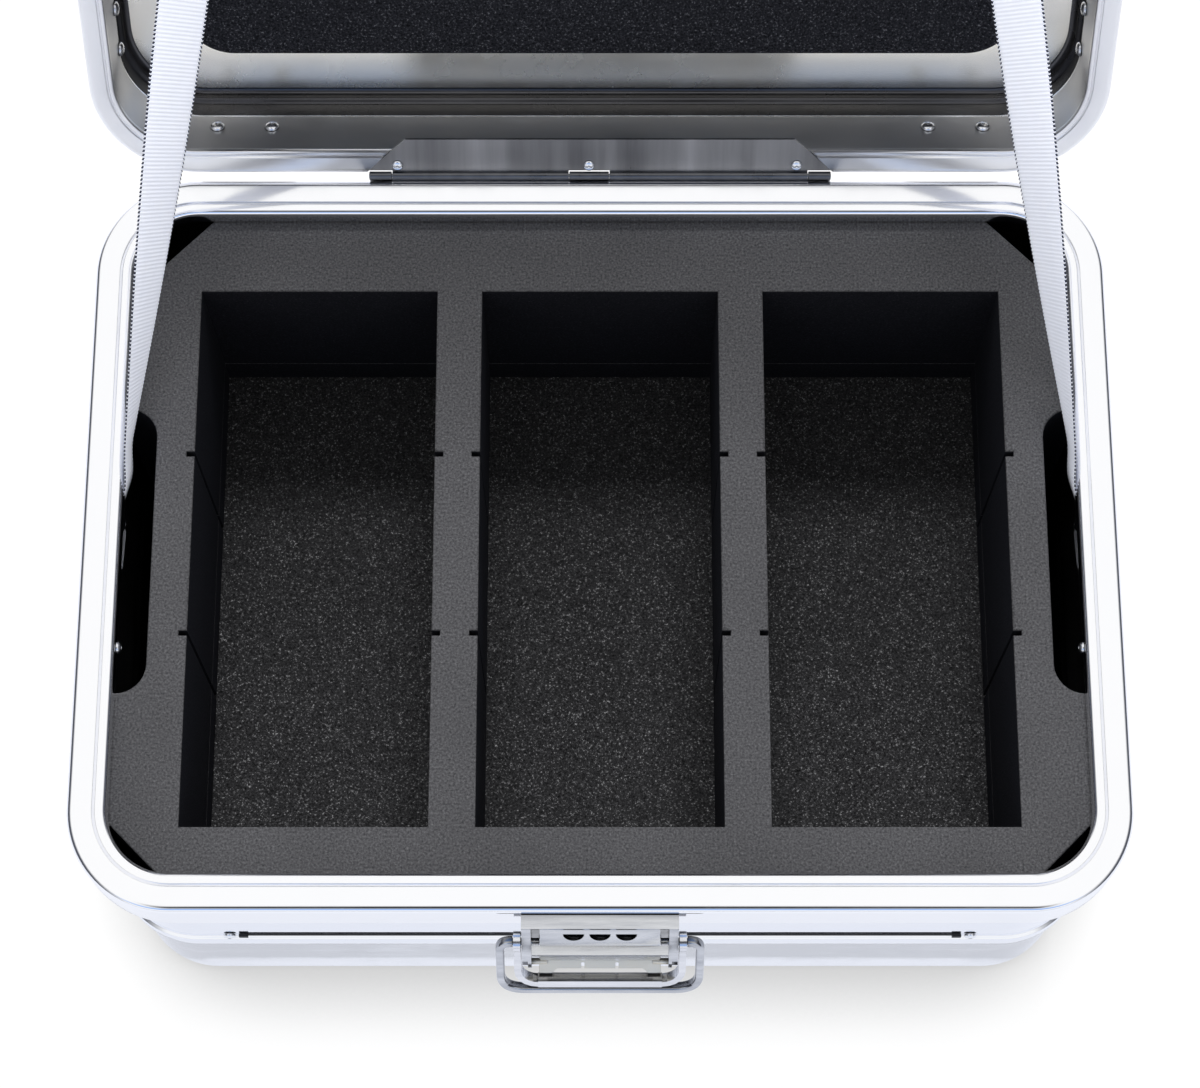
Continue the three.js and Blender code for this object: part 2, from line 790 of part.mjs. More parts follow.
// Barrel segments of one leaf: body segments are the even ones, lid segments the odd ones.
function knuckles(parity, y, z) {
  const edges = knuckleShares.map((share) => share * hingeLength);
  const spans = edges.slice(1).map((end, step) => [edges[step], end]);
  return spans.filter((_, step) => step % 2 === parity).map(([start, end]) => rodAlongX(
    hingeBarrelRadius,
    start + knuckleGap / 2,
    end - knuckleGap / 2,
    y,
    z,
  ));
}

// Gaps that a leaf leaves for the other leaf's barrel segments.
function knuckleClearance(parity, y, z) {
  const edges = knuckleShares.map((share) => share * hingeLength);
  const spans = edges.slice(1).map((end, step) => [edges[step], end]);
  const reach = hingeBarrelRadius + hingeNotchGap;
  return spans.filter((_, step) => step % 2 === parity).map(([start, end]) => box(
    start - knuckleGap / 2, end + knuckleGap / 2, y - reach, y + reach, z - reach, z + reach,
  ));
}

function pinBore(y, z) {
  return rodAlongX(hingePinRadius + hingePinGap, -hingeLength, hingeLength, y, z);
}

function makeHingeBodyLeaf() {
  const inner = halfDepth + seatGap;
  const plate = box(
    -hingeLength / 2 + knuckleGap / 2, hingeLength / 2 - knuckleGap / 2,
    inner, inner + hingeLeafSheet,
    hingeZ - hingeBodyLeafDrop, hingeZ,
  );
  const cleared = shaped([plate], knuckleClearance(1, hingeY, hingeZ));
  const holes = hingeRivetXs.map((x) => hole(
    toRear,
    new THREE.Vector3(x, inner, hingeZ - hingeRivetDrop),
    hingeLeafSheet * 2 + cutOverrun,
  ));
  return shaped([cleared, ...knuckles(0, hingeY, hingeZ)], [pinBore(hingeY, hingeZ), ...holes]);
}

// The lid leaf lies under the lid rim's face, so it is drawn with the lid shut, from the hinge axis.
const leafTop = hingeBarrelRadius;
const leafBottom = leafTop - hingeLeafSheet;
const lidFaceRise = lidClosedGap - hingeAbove;      // lid rim's face above the hinge axis

function lidLeafOutline(grow) {
  const low = hingeLength / 2 + grow;
  const high = hingeLidLeafTop / 2 + grow;
  const shape = new THREE.Shape();
  shape.moveTo(-low, grow);
  shape.lineTo(-low, -hingeRivetInset / 2);
  shape.lineTo(-high, -hingeLidLeafReach - grow);
  shape.lineTo(high, -hingeLidLeafReach - grow);
  shape.lineTo(low, -hingeRivetInset / 2);
  shape.lineTo(low, grow);
  return shape;
}

function makeHingeLidLeaf() {
  const plate = raised(lidLeafOutline(0), leafBottom, leafTop);
  const cleared = shaped([plate], knuckleClearance(0, 0, 0));
  const holes = hingeRivetXs.map((x) => hole(
    upwards,
    new THREE.Vector3(x, -hingeRivetInset, leafTop),
    hingeLeafSheet * 2 + cutOverrun,
  ));
  return shaped([cleared, ...knuckles(1, 0, 0)], [pinBore(0, 0), ...holes]);
}

function makeHingePin() {
  return rodAlongX(hingePinRadius, -hingeLength / 2, hingeLength / 2, hingeY, hingeZ);
}

const bodyLeafFace = halfDepth + seatGap + hingeLeafSheet;
const bodyLeafGrip = hingeLeafSheet + seatGap * 2 + rimSkirtSheet;
const lidLeafGrip = seatGap + hingeLeafSheet + lidFaceRise + lidRimFace - leafTop;

function makeHingeRivet(direction, x, y, z, grip) {
  const shape = rivet(grip, false, hingeRivetHeadRadius, hingeRivetHeadHeight);
  return aimed(shape, direction, new THREE.Vector3(x, y, z));
}

// Lid, drawn shut: heights from the hinge axis, depths from the hinge axis

const lidMiddle = -halfDepth - hingeBehind;          // Y of the lid's middle from the hinge axis

function lidLoop([inset, rise]) {
  return caseLoop([inset, lidFaceRise + rise]).map((point) => point.setY(point.y + lidMiddle));
}

function lidShellLoops() {
  const bottom = lidRimFace + seatGap;
  const beadEnd = lidBeadStart + lidBeadWidth;
  const wall = (inset) => [
    [inset, bottom],
    [inset, lidBeadStart],
    [inset - beadBulge, lidBeadStart + beadFlank],
    [inset - beadBulge, beadEnd - beadFlank],
    [inset, beadEnd],
  ];
  const topArc = (inset, radius) => Array.from({ length: floorSteps + 1 }, (_, step) => {
    const angle = step / floorSteps * Math.PI / 2;
    return [inset + radius * (1 - Math.cos(angle)), lidHeight - lidTopRadius + radius * Math.sin(angle)];
  });
  const outside = [...wall(wallInset), ...topArc(wallInset, lidTopRadius)];
  const inside = [...wall(innerInset), ...topArc(innerInset, lidTopRadius - wallSheet)];
  return [...inside.reverse(), ...outside].map(lidLoop);
}

const lidSideRivetSpots = mirrored((sign) => lidSideRivetPlaces.map((place, row) => ({
  label: `${sideName(sign)}_${row ? 'front' : 'rear'}`,
  place: new THREE.Vector3(
    sign * (halfLength - innerInset - seatGap),
    -place,
    lidFaceRise + lidSideRivetDepth,
  ),
  into: sign > 0 ? toLeft : toRight,
}))).flat();

const lidFootRivetSpots = mirrored((sign) => mirrored((side) => ({
  label: `${sideName(sign)}_${side * sign > 0 ? 'outer' : 'inner'}`,
  place: new THREE.Vector3(
    sign * footPlace + side * footRivetSpacing / 2,
    -hingeBehind - innerInset - seatGap,
    lidFaceRise + footDepthOnLid,
  ),
  into: toFront,
}))).flat();

const strikeRivetSpots = mirrored((sign) => ({
  label: sideName(sign),
  place: new THREE.Vector3(
    sign * strikeRivetPlace,
    lidMiddle - halfDepth - seatGap * 2 - strikeSheet,
    lidFaceRise + strikeRivetRise,
  ),
  into: toFront,
}));

const lidPanelUnder = lidFaceRise + lidHeight - wallSheet;
const strapLidX = halfLength - strapLidPlace;

const strapLidRivetSpots = mirrored((sign) => ({
  label: sideName(sign),
  place: new THREE.Vector3(sign * strapLidX, strapLidRivet - lidReach, lidPanelUnder - seatGap * 2 - strapThickness),
  into: downwards,
}));

function makeLidShell() {
  return shaped([skinned(lidShellLoops())], [
    ...cutsFor(lidSideRivetSpots, rimCornerRadius),
    ...cutsFor(lidFootRivetSpots, rimCornerRadius),
    ...cutsFor(strikeRivetSpots, rimCornerRadius),
    ...cutsFor(strapLidRivetSpots, rimCornerRadius),
  ]);
}

function makeLidRim() {
  const ring = skinned(lidRimSection.map(lidLoop), true);
  const recess = raised(lidLeafOutline(seatGap), lidFaceRise - cutOverrun, leafTop + seatGap);
  const holes = hingeRivetXs.map((x) => hole(
    upwards,
    new THREE.Vector3(x, -hingeRivetInset, leafTop),
    (lidRimFace + cutOverrun) * 2,
  ));
  return shaped([ring], [hingeNotch(0, 0), recess, ...holes]);
}

function makeLidPad() {
  const length = rimLength - lidPadSideBorder * 2;
  const depth = lidReach - lidPadStart - lidPadFrontBorder;
  const shape = roundedRectangle(length, depth, lidPadCorner);
  const top = lidPanelUnder - seatGap;
  return raised(shape, top - lidPadThickness, top).translate(0, -lidPadStart - depth / 2, 0);
}

function makeStrike() {
  const face = lidMiddle - halfDepth;
  const outline = [
    [seatGap, strikeBottom],
    [seatGap + strikeSheet, strikeBottom],
    [seatGap + strikeSheet, strikeShelf],
    [strikeReach, strikeShelf],
    [strikeReach, strikeLipTop],
    [strikeReach - strikeLipSheet, strikeLipTop],
    [strikeReach - strikeLipSheet, strikeShelf + strikeShelfSheet],
    [seatGap + strikeSheet, strikeShelf + strikeShelfSheet],
    [seatGap + strikeSheet, strikeTop],
    [seatGap - wallInset, strikeTop],
    [seatGap - wallInset, lidRimHeight + seatGap],
    [seatGap, lidRimHeight + seatGap],
  ];
  const points = outline.map(([out, rise]) => [face - out, lidFaceRise + rise]);
  return shaped([alongX(points, -strikeHalf, strikeHalf)], cutsFor(strikeRivetSpots, rimCornerRadius));
}

// Straps: a ribbon from the body's side wall over the rim's lip, taut to the lid's front margin

function strapPath(sign, toWorld) {
  const wallX = halfLength - innerInset - seatGap - strapThickness / 2;
  const lipX = halfLength - strapEdgeInset;
  const level = (drop) => bodyHeight - drop;
  const place = (border) => halfDepth - border;
  const body = [
    new THREE.Vector3(sign * wallX, place(strapTailPlace), level(strapTailDrop)),
    new THREE.Vector3(sign * wallX, place(strapBodyRivetPlace), level(strapBodyRivetDrop)),
    new THREE.Vector3(sign * wallX, place(strapWallPlace), level(strapWallDrop)),
    new THREE.Vector3(sign * lipX, place(strapBendPlace), level(strapBendDrop)),
    new THREE.Vector3(sign * lipX, place(strapLeavePlace), level(strapLeaveDrop)),
  ];
  const panel = lidPanelUnder - seatGap - strapThickness / 2;
  const meet = toWorld(new THREE.Vector3(sign * strapLidX, strapLidBorder - lidReach, panel));
  const tail = toWorld(new THREE.Vector3(sign * strapLidX, strapLidTail - lidReach, panel));
  const freeStart = body.length - 1;
  const free = Array.from({ length: strapSteps - 1 }, (_, step) => {
    return body[freeStart].clone().lerp(meet, (step + 1) / strapSteps);
  });
  return { points: [...body, ...free, meet, tail], freeStart, freeEnd: freeStart + strapSteps };
}

function makeStrap(sign, toWorld) {
  const { points, freeStart, freeEnd } = strapPath(sign, toWorld);
  const loops = points.map((point, step) => {
    const before = points[Math.max(step - 1, 0)];
    const after = points[Math.min(step + 1, points.length - 1)];
    const tangent = after.clone().sub(before).normalize();
    const flat = new THREE.Vector3(1, 0, 0).addScaledVector(tangent, -tangent.x).normalize();
    const across = tangent.clone().cross(flat);
    const along = THREE.MathUtils.clamp((step - freeStart) / (freeEnd - freeStart) / strapTwistShare, 0, 1);
    const turn = -sign * Math.PI / 2 * (1 - along);
    const wide = flat.clone().multiplyScalar(Math.cos(turn)).addScaledVector(across, Math.sin(turn));
    const thick = tangent.clone().cross(wide);
    return [[1, 1], [-1, 1], [-1, -1], [1, -1]].map(([side, face]) => point.clone()
      .addScaledVector(wide, side * strapWidth / 2)
      .addScaledVector(thick, face * strapThickness / 2));
  });
  const holes = [
    ...strapRivetSpots.map(({ into, place }) => hole(into, place, strapWidth)),
    ...strapLidRivetSpots.map(({ into, place }) => hole(into, place, strapWidth)
      .applyMatrix4(lid.matrixWorld)),
  ];
  return shaped([skinned(loops)], holes);
}

// Latch base

const pivotHoleRadius = studRadius + turnGap;

function makeLatchBase() {
  const plateFace = seatGap + latchPlateSheet;
  const plate = latchBox(-earOuter, earOuter, seatGap, plateFace, latchPlateTop, latchPlateBottom);
  const foot = latchBox(
    -latchFootHalf, latchFootHalf,
    seatGap - wallInset, plateFace,
    bodyRimHeight + seatGap, latchPlateBottom,
  );
  const shelf = latchBox(
    -earOuter, earOuter,
    seatGap, latchShelfReach,
    latchPlateTop, latchPlateTop + latchShelfSheet,
  );
  const ears = mirrored((sign) => latchProfile(earOutline, ...sided(sign, earInner, earOuter)));
  const tongues = mirrored((sign) => {
    return latchProfile(tongueOutline, ...sided(sign, earInner, earInner + tongueSheet));
  });
  const holes = mirrored((sign) => {
    const [x0, x1] = sided(sign, earInner - cutOverrun, earOuter + cutOverrun);
    return [
      rodAlongX(pivotHoleRadius, x0, x1, -leverPivotOut, -leverPivotDown),
      rodAlongX(releasePinRadius + turnGap, x0, x1, -releaseOut, -releaseDown),
    ];
  }).flat();
  const rivetCuts = cutsFor(latchRivetSpots, rimCornerRadius)
    .map((cut) => cut.translate(0, halfDepth, -bodyHeight));
  return shaped([plate, foot, shelf, ...ears, ...tongues], [...holes, ...rivetCuts]);
}

// Lock housing

const lockOutline = [
  [lockBack, lockTop],
  [lockTopReach, lockTop],
  [lockSlopeReach, railTop],
  [lockFront, railBottom],
  [lockFront, lockBottom],
  [lockBack, lockBottom],
];

// Moves each side of an outline inwards by a distance.
function insetOutline(outline, distance) {
  const points = outline.map(([x, y]) => new THREE.Vector2(x, y));
  const turn = Math.sign(THREE.ShapeUtils.area(points));
  const inward = (from, to) => {
    const along = to.clone().sub(from).normalize();
    return new THREE.Vector2(-along.y * turn, along.x * turn);
  };
  return points.map((point, step) => {
    const first = inward(points.at(step - 1), point);
    const second = inward(point, points[(step + 1) % points.length]);
    const reach = distance / (1 + first.dot(second));
    return point.clone().addScaledVector(first.add(second), reach).toArray();
  });
}

// The housing's hollow runs out through its back.
function lockCavity() {
  return insetOutline(lockOutline, lockWall).map(([out, down], step, all) => {
    return [step % (all.length - 1) ? out : lockBack - cutOverrun, down];
  });
}

// A half-round window, flat edge towards the case, through the sloping face.
function dialWindow(x) {
  const slope = new THREE.Vector2(lockSlopeReach - lockTopReach, railTop - lockTop);
  const shape = new THREE.Shape();
  shape.moveTo(-windowWidth / 2, 0);
  shape.absellipse(0, 0, windowWidth / 2, windowHeight, Math.PI, Math.PI * 2, false, 0);
  shape.lineTo(-windowWidth / 2, 0);
  const cut = raised(shape, -lockWall - cutOverrun, cutOverrun);
  cut.rotateX(slope.angle());
  const middle = slope.clone().multiplyScalar(1 / 2);
  const place = new THREE.Vector2(lockTopReach, lockTop).add(middle);
  const back = slope.clone().setLength(windowHeight / 2);
  return cut.translate(x, -place.x + back.x, -place.y + back.y);
}

function makeLockHousing() {
  const rail = latchBox(-railHalf, railHalf, lockSlopeReach, railReach, railTop, railBottom);
  const dials = [-1, 0, 1].map((step) => dialWindow(step * dialPitch));
  const axleHole = rodAlongX(dialAxleRadius + turnGap, -lockHalf - cutOverrun, lockHalf + cutOverrun, -dialOut, -dialDown);
  const boltReach = boltSize / 2 + turnGap;
  const boltHole = latchBox(
    lockHalf - lockWall - cutOverrun, lockHalf + cutOverrun,
    dialOut - boltReach, dialOut + boltReach,
    boltDown - boltReach, boltDown + boltReach,
  );
  return shaped(
    [latchProfile(lockOutline, -lockHalf, lockHalf), rail],
    [
      latchProfile(lockCavity(), -lockHalf + lockWall, lockHalf - lockWall),
      ...dials,
      axleHole,
      boltHole,
    ],
  );
}

function makeDial(step) {
  const shape = new THREE.Shape(Array.from({ length: dialTeeth * 2 }, (_, tooth) => {
    const radius = dialRadius - (tooth % 2) * dialNotchDepth;
    const angle = tooth / dialTeeth * Math.PI;
    return new THREE.Vector2(radius * Math.cos(angle), radius * Math.sin(angle));
  }));
  const bore = new THREE.Path();
  bore.absarc(0, 0, dialAxleRadius + turnGap, 0, Math.PI * 2, true);
  shape.holes.push(bore);
  const disc = raised(shape, -dialWidth / 2, dialWidth / 2);
  return disc.rotateY(Math.PI / 2).translate(step * dialPitch, -dialOut, -dialDown);
}

function makeStud(sign) {
  const [x0, x1] = sided(sign, studInner, earOuter + seatGap + leverCheekSheet);
  return rodAlongX(studRadius, x0, x1, -leverPivotOut, -leverPivotDown);
}

function makeLockBolt() {
  const reach = boltSize / 2;
  return latchBox(-boltHalf, boltEnd, dialOut - reach, dialOut + reach, boltDown - reach, boltDown + reach);
}

// A strip of even width that follows corner points in the XZ plane, with rounded corners.
function bentStrip(corners, radii, width) {
  const line = [];
  corners.forEach((corner, step) => {
    const before = corners[step - 1];
    const after = corners[step + 1];
    if (!before || !after) {
      line.push(corner.clone());
      return;
    }
    const into = corner.clone().sub(before).normalize();
    const outOf = after.clone().sub(corner).normalize();
    const start = corner.clone().addScaledVector(into, -radii[step]);
    const end = corner.clone().addScaledVector(outOf, radii[step]);
    const centre = start.clone().addScaledVector(outOf, radii[step]);
    for (let turn = 0; turn <= filletSteps; turn += 1) {
      const angle = turn / filletSteps * Math.PI / 2;
      line.push(turn === filletSteps ? end : centre.clone()
        .addScaledVector(outOf, -radii[step] * Math.cos(angle))
        .addScaledVector(into, radii[step] * Math.sin(angle)));
    }
  });
  const offset = (side) => line.map((point, step) => {
    const before = line[Math.max(step - 1, 0)];
    const after = line[Math.min(step + 1, line.length - 1)];
    const along = after.clone().sub(before).normalize();
    return new THREE.Vector2(point.x - along.y * side * width / 2, point.y + along.x * side * width / 2);
  });
  return new THREE.Shape([...offset(1), ...offset(-1).reverse()]);
}

// Extrudes a shape drawn in X and Z through a thickness centred on Y = 0.
function throughY(shape, thickness) {
  return raised(shape, -thickness / 2, thickness / 2).rotateX(Math.PI / 2);
}

const cheekInner = earOuter + seatGap + turnGap / 2;
const cheekOuter = cheekInner + leverCheekSheet;

// U-shaped lever, hanging straight down from its pivot at the origin.
function makeLever() {
  const x = (cheekInner + cheekOuter) / 2;
  const corners = [[-x, 0], [-x, -leverLength], [x, -leverLength], [x, 0]]
    .map(([across, height]) => new THREE.Vector2(across, height));
  const frame = throughY(bentStrip(corners, [0, leverCorner, leverCorner, 0], leverCheekSheet), leverBarDepth);
  const bar = box(
    leverCorner - x, x - leverCorner,
    -leverBarDepth / 2, leverBarDepth / 2,
    -leverLength - leverBarWidth / 2, -leverLength + leverBarWidth / 2,
  );
  const eyes = mirrored((sign) => {
    const [x0, x1] = sided(sign, cheekInner, cheekOuter);
    const apart = new THREE.Vector2(-bailPivotForward, bailPivotAbove);
    const side = new THREE.Vector2(-apart.y, apart.x).setLength(leverEyeRadius);
    const bridge = [
      [side.x, side.y],
      [-side.x, -side.y],
      [apart.x - side.x, apart.y - side.y],
      [apart.x + side.x, apart.y + side.y],
    ];
    return [
      rodAlongX(leverEyeRadius, x0, x1),
      rodAlongX(leverEyeRadius, x0, x1, apart.x, apart.y),
      alongX(bridge, x0, x1),
    ];
  }).flat();
  const holes = mirrored((sign) => {
    const [x0, x1] = sided(sign, cheekInner - cutOverrun, cheekOuter + cutOverrun);
    return [
      rodAlongX(pivotHoleRadius, x0, x1),
      rodAlongX(bailStubRadius + turnGap, x0, x1, -bailPivotForward, bailPivotAbove),
    ];
  }).flat();
  return shaped([frame, bar, ...eyes], holes);
}

// Wire bail, hanging straight down from its stubs on the X axis.
function makeBail() {
  const inner = cheekOuter + seatGap;
  const corners = [
    [-inner, 0], [-bailHalfWidth, 0], [-bailHalfWidth, -bailLength],
    [bailHalfWidth, -bailLength], [bailHalfWidth, 0], [inner, 0],
  ].map(([x, z]) => new THREE.Vector2(x, z));
  const radii = [0, bailTopCorner, bailBottomCorner, bailBottomCorner, bailTopCorner, 0];
  const loop = throughY(bentStrip(corners, radii, bailBarWidth), bailBarDepth);
  const stubs = mirrored((sign) => rodAlongX(
    bailStubRadius,
    ...sided(sign, cheekOuter - bailStubInset, inner + bailBarWidth / 2),
  ));
  return shaped([loop, ...stubs]);
}

// Release plate, drawn with its reach along -Z from the pins on the X axis.
function makeReleasePlate() {
  const tab = releaseTabHalf;
  const slot = tab + releaseSlotWidth;
  const half = [
    [releaseHalf, releaseBack],
    [releaseHalf, -releaseFootReach],
    [releaseFootHalf, -releaseFootReach],
    [releaseEdgeHalf, -releaseEdgeReach],
    [slot, -releaseEdgeReach],
    [slot, -releaseSlotStart],
    [tab, -releaseSlotStart],
    [tab, -releaseEdgeReach],
  ];
  const outline = [...half, ...half.map(([x, z]) => [-x, z]).reverse()]
    .map(([x, z]) => new THREE.Vector2(x, z));
  const pins = mirrored((sign) => rodAlongX(
    releasePinRadius,
    ...sided(sign, releasePinInner, releasePinOuter),
  ));
  return shaped([throughY(new THREE.Shape(outline), releaseSheet), ...pins]);
}

// Assembly

const hardCase = new THREE.Group();

const latch = new THREE.Group();
latch.position.set(0, -halfDepth, bodyHeight);
hardCase.add(latch);

const leverFrame = new THREE.Group();
leverFrame.position.set(0, -leverPivotOut, -leverPivotDown);
leverFrame.rotation.x = -radians(leverAngle);
latch.add(leverFrame);

const bailFrame = new THREE.Group();
bailFrame.position.set(0, -bailPivotForward, bailPivotAbove);
bailFrame.rotation.x = radians(leverAngle - bailAngle);
leverFrame.add(bailFrame);

const releaseFrame = new THREE.Group();
releaseFrame.position.set(0, -releaseOut, -releaseDown);
releaseFrame.rotation.x = -radians(releaseAngle);
latch.add(releaseFrame);

const lid = new THREE.Group();
lid.position.set(0, hingeY, hingeZ);
lid.rotation.x = -radians(lidOpenAngle);
hardCase.add(lid);
hardCase.updateMatrixWorld(true);
const fromLid = (point) => lid.localToWorld(point);

function placeRivets(prefix, spots, grip, tail, parent, radius = rivetHeadRadius) {
  for (const { label, into, place } of spots) {
    piece(`${prefix}_${label}`, aimed(rivet(grip, tail, radius), into, place), 'steel', parent);
  }
}

piece('body_shell', makeBodyShell(), 'aluminium', hardCase);
piece('body_rim', makeBodyRim(), 'polished', hardCase);
placeRivets('side_rivet_body', sideRivetSpots, sideRivetGrip, true, hardCase, sideRivetHeadRadius);
piece('foam_insert_upper', makeFoamLayer(foamSeamHeight + seatGap, foamTop), 'foam', hardCase);
piece('foam_insert_lower', makeFoamLayer(foamFloorHeight + seatGap, foamSeamHeight), 'foam', hardCase);
piece('foam_base', makeFoamBase(), 'coarseFoam', hardCase);
piece('front_trim_strip', makeStrip(), 'rubber', hardCase);
piece('hinge_leaf_body', makeHingeBodyLeaf(), 'steel', hardCase);
piece('hinge_pin', makeHingePin(), 'steel', hardCase);
for (const sign of [1, -1]) {
  const side = sideName(sign);
  piece(`trim_screw_${side}`, makeStripScrew(sign), 'steel', hardCase);
  piece(`rear_foot_body_${side}`, makeBodyFoot(sign), 'rubber', hardCase);
  piece(`strap_${side}`, makeStrap(sign, fromLid), 'webbing', hardCase);
}
placeRivets('strap_rivet_body', strapRivetSpots, strapBodyGrip, true, hardCase);

piece('latch_base', makeLatchBase(), 'polished', latch);
piece('lock_housing', makeLockHousing(), 'polished', latch);
piece('dial_right', makeDial(1), 'dial', latch);
piece('dial_middle', makeDial(0), 'dial', latch);
piece('dial_left', makeDial(-1), 'dial', latch);
const axleHalf = lockHalf - seatGap;
piece('dial_axle', rodAlongX(dialAxleRadius, -axleHalf, axleHalf, -dialOut, -dialDown), 'steel', latch);
piece('lock_bolt', makeLockBolt(), 'steel', latch);
piece('pivot_stud_right', makeStud(1), 'steel', latch);
piece('pivot_stud_left', makeStud(-1), 'steel', latch);
placeRivets('latch_rivet', latchRivetSpots, latchRivetGrip, true, hardCase);
piece('latch_lever', makeLever(), 'polished', leverFrame);
piece('latch_bail', makeBail(), 'polished', bailFrame);
piece('release_plate', makeReleasePlate(), 'polished', releaseFrame);

piece('lid_shell', makeLidShell(), 'aluminium', lid);
piece('lid_rim', makeLidRim(), 'polished', lid);
piece('lid_foam_pad', makeLidPad(), 'coarseFoam', lid);
placeRivets('side_rivet_lid', lidSideRivetSpots, wallSheet + seatGap * 2, true, lid);
piece('hinge_leaf_lid', makeHingeLidLeaf(), 'steel', lid);
piece('rear_foot_lid_right', makeLidFoot(1), 'rubber', lid);
piece('rear_foot_lid_left', makeLidFoot(-1), 'rubber', lid);
placeRivets('foot_rivet_lid', lidFootRivetSpots, footRivetGrip, false, lid);
placeRivets('strap_rivet_lid', strapLidRivetSpots, strapLidGrip, true, lid);
piece('latch_strike', makeStrike(), 'polished', lid);
placeRivets('strike_rivet', strikeRivetSpots, strikeRivetGrip, true, lid);

const hingeRivetLabels = ['left', 'middle', 'right'];
hingeRivetXs.forEach((x, row) => {
  const label = hingeRivetLabels[row];
  piece(`hinge_rivet_body_${label}`, makeHingeRivet(
    toRear, x, bodyLeafFace + seatGap, hingeZ - hingeRivetDrop, bodyLeafGrip,
  ), 'steel', hardCase);
  piece(`hinge_rivet_lid_${label}`, makeHingeRivet(
    downwards, x, -hingeRivetInset, leafBottom - seatGap, lidLeafGrip,
  ), 'steel', lid);
});

export default hardCase;
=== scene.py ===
# %% [markdown]
# # A hard aluminium case, standing open
#
# The real thing is a suitcase-sized case: a deep body and a shallower lid, each pressed from one sheet of
# aluminium and framed by a thick aluminium rim. Webbing straps hold the lid open, a foam insert with three bays
# fills the body, and one latch with three dials shuts it. The engineering model of every part is loaded first and
# never moved. Each cell after that dresses one part, with surfaces worked out by numpy in millimetres.

import bmesh
import bpy
import numpy as np
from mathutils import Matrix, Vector
from mathutils.geometry import tessellate_polygon


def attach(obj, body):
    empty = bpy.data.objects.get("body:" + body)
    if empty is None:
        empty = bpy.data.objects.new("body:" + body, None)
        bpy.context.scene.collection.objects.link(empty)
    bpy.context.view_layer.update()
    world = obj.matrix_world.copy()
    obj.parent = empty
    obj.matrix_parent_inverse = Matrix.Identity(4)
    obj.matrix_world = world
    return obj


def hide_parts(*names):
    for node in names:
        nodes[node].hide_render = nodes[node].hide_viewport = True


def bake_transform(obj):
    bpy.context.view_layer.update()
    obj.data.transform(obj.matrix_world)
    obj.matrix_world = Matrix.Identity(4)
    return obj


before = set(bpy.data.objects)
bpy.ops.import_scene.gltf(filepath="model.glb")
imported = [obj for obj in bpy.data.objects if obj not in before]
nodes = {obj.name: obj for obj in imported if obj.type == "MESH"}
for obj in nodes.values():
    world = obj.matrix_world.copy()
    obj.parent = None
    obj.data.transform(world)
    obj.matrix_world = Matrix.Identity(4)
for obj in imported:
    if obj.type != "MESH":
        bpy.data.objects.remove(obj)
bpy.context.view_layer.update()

# %% [markdown]
# ## The camera
#
# The picture is taken from in front and far above, looking down into the case. A 90 mm lens at one and a half
# metres gives the mild perspective in which the walls of the bays lean only a little.

# %% Camera
scene = bpy.context.scene
scene.view_settings.view_transform = "Standard"
camera_data = bpy.data.cameras.new("camera")
camera_data.lens = 90
camera_data.sensor_width = 36
camera = bpy.data.objects.new("camera", camera_data)
camera.location = (0, -0.407, 1.423)
camera.rotation_euler = (np.radians(18), 0, 0)
scene.collection.objects.link(camera)
scene.camera = camera
print("camera at", tuple(round(v, 3) for v in camera.location))

# %% [markdown]
# ## Shader nodes with fewer words
#
# A material is a small network of nodes. These helpers add a node and fill its inputs, each with a plain value or
# with a wire. A wire is a node, which stands for its first output, or a pair of a node and one of its outputs. So
# the cells below can read like recipes.

# %% Node helpers
def fill(tree, node, inputs):
    """Fills inputs, by name or number, with plain values or wires."""
    for key, value in inputs.items():
        pair = isinstance(value, tuple) and isinstance(value[0], bpy.types.Node)
        source, output = value if pair else (value, 0)
        if isinstance(source, bpy.types.Node):
            tree.links.new(source.outputs[output], node.inputs[key])
        else:
            node.inputs[key].default_value = value


def add_node(tree, kind, inputs=None, **options):
    """Adds a shader node of a kind, sets its properties, and then fills its inputs."""
    node = tree.nodes.new("ShaderNode" + kind)
    for key, value in options.items():
        setattr(node, key, value)
    fill(tree, node, inputs or {})
    return node


def maths(tree, operation, *values, **options):
    """A Math node, such as ADD or MULTIPLY, of values or wires in their order."""
    return add_node(tree, "Math", dict(enumerate(values)), operation=operation, **options)


def remap(tree, value, low, high, to_low=0.0, to_high=1.0):
    """Moves the span from low to high in a straight line to another span, and stops at its ends."""
    return add_node(tree, "MapRange", dict(enumerate((value, low, high, to_low, to_high))))


def mix(tree, share, first, second, **options):
    """A wire with two colours mixed: a Mix node takes colours at its inputs 6 and 7 and gives one at output 2."""
    return add_node(tree, "Mix", {0: share, 6: first, 7: second}, data_type="RGBA", **options), 2


def openness(tree, distance, samples=8):
    """A wire that is 1 in the open and falls to 0 where surfaces within a distance in metres close in."""
    return add_node(tree, "AmbientOcclusion", {"Distance": distance}, samples=samples), "AO"


def empty_nodes(owner):
    """Switches the nodes of a material or a world on and clears them."""
    owner.use_nodes = True
    owner.node_tree.nodes.clear()
    return owner.node_tree


def open_material(name, **values):
    """A new material with a Principled shader whose plain numbers are set on its own sockets."""
    material = bpy.data.materials.new(name)
    tree = empty_nodes(material)
    shader = add_node(tree, "BsdfPrincipled", values)
    add_node(tree, "OutputMaterial", {"Surface": shader})
    return material, tree, shader


def dress(tree, shader, colour, roughness, height, strength, distance):
    """Ends a recipe: colour and roughness go to the shader, and a height bends its normal by a bump."""
    relief = add_node(tree, "Bump", {"Height": height, "Strength": strength, "Distance": distance})
    fill(tree, shader, {"Base Color": colour, "Roughness": roughness, "Normal": relief})


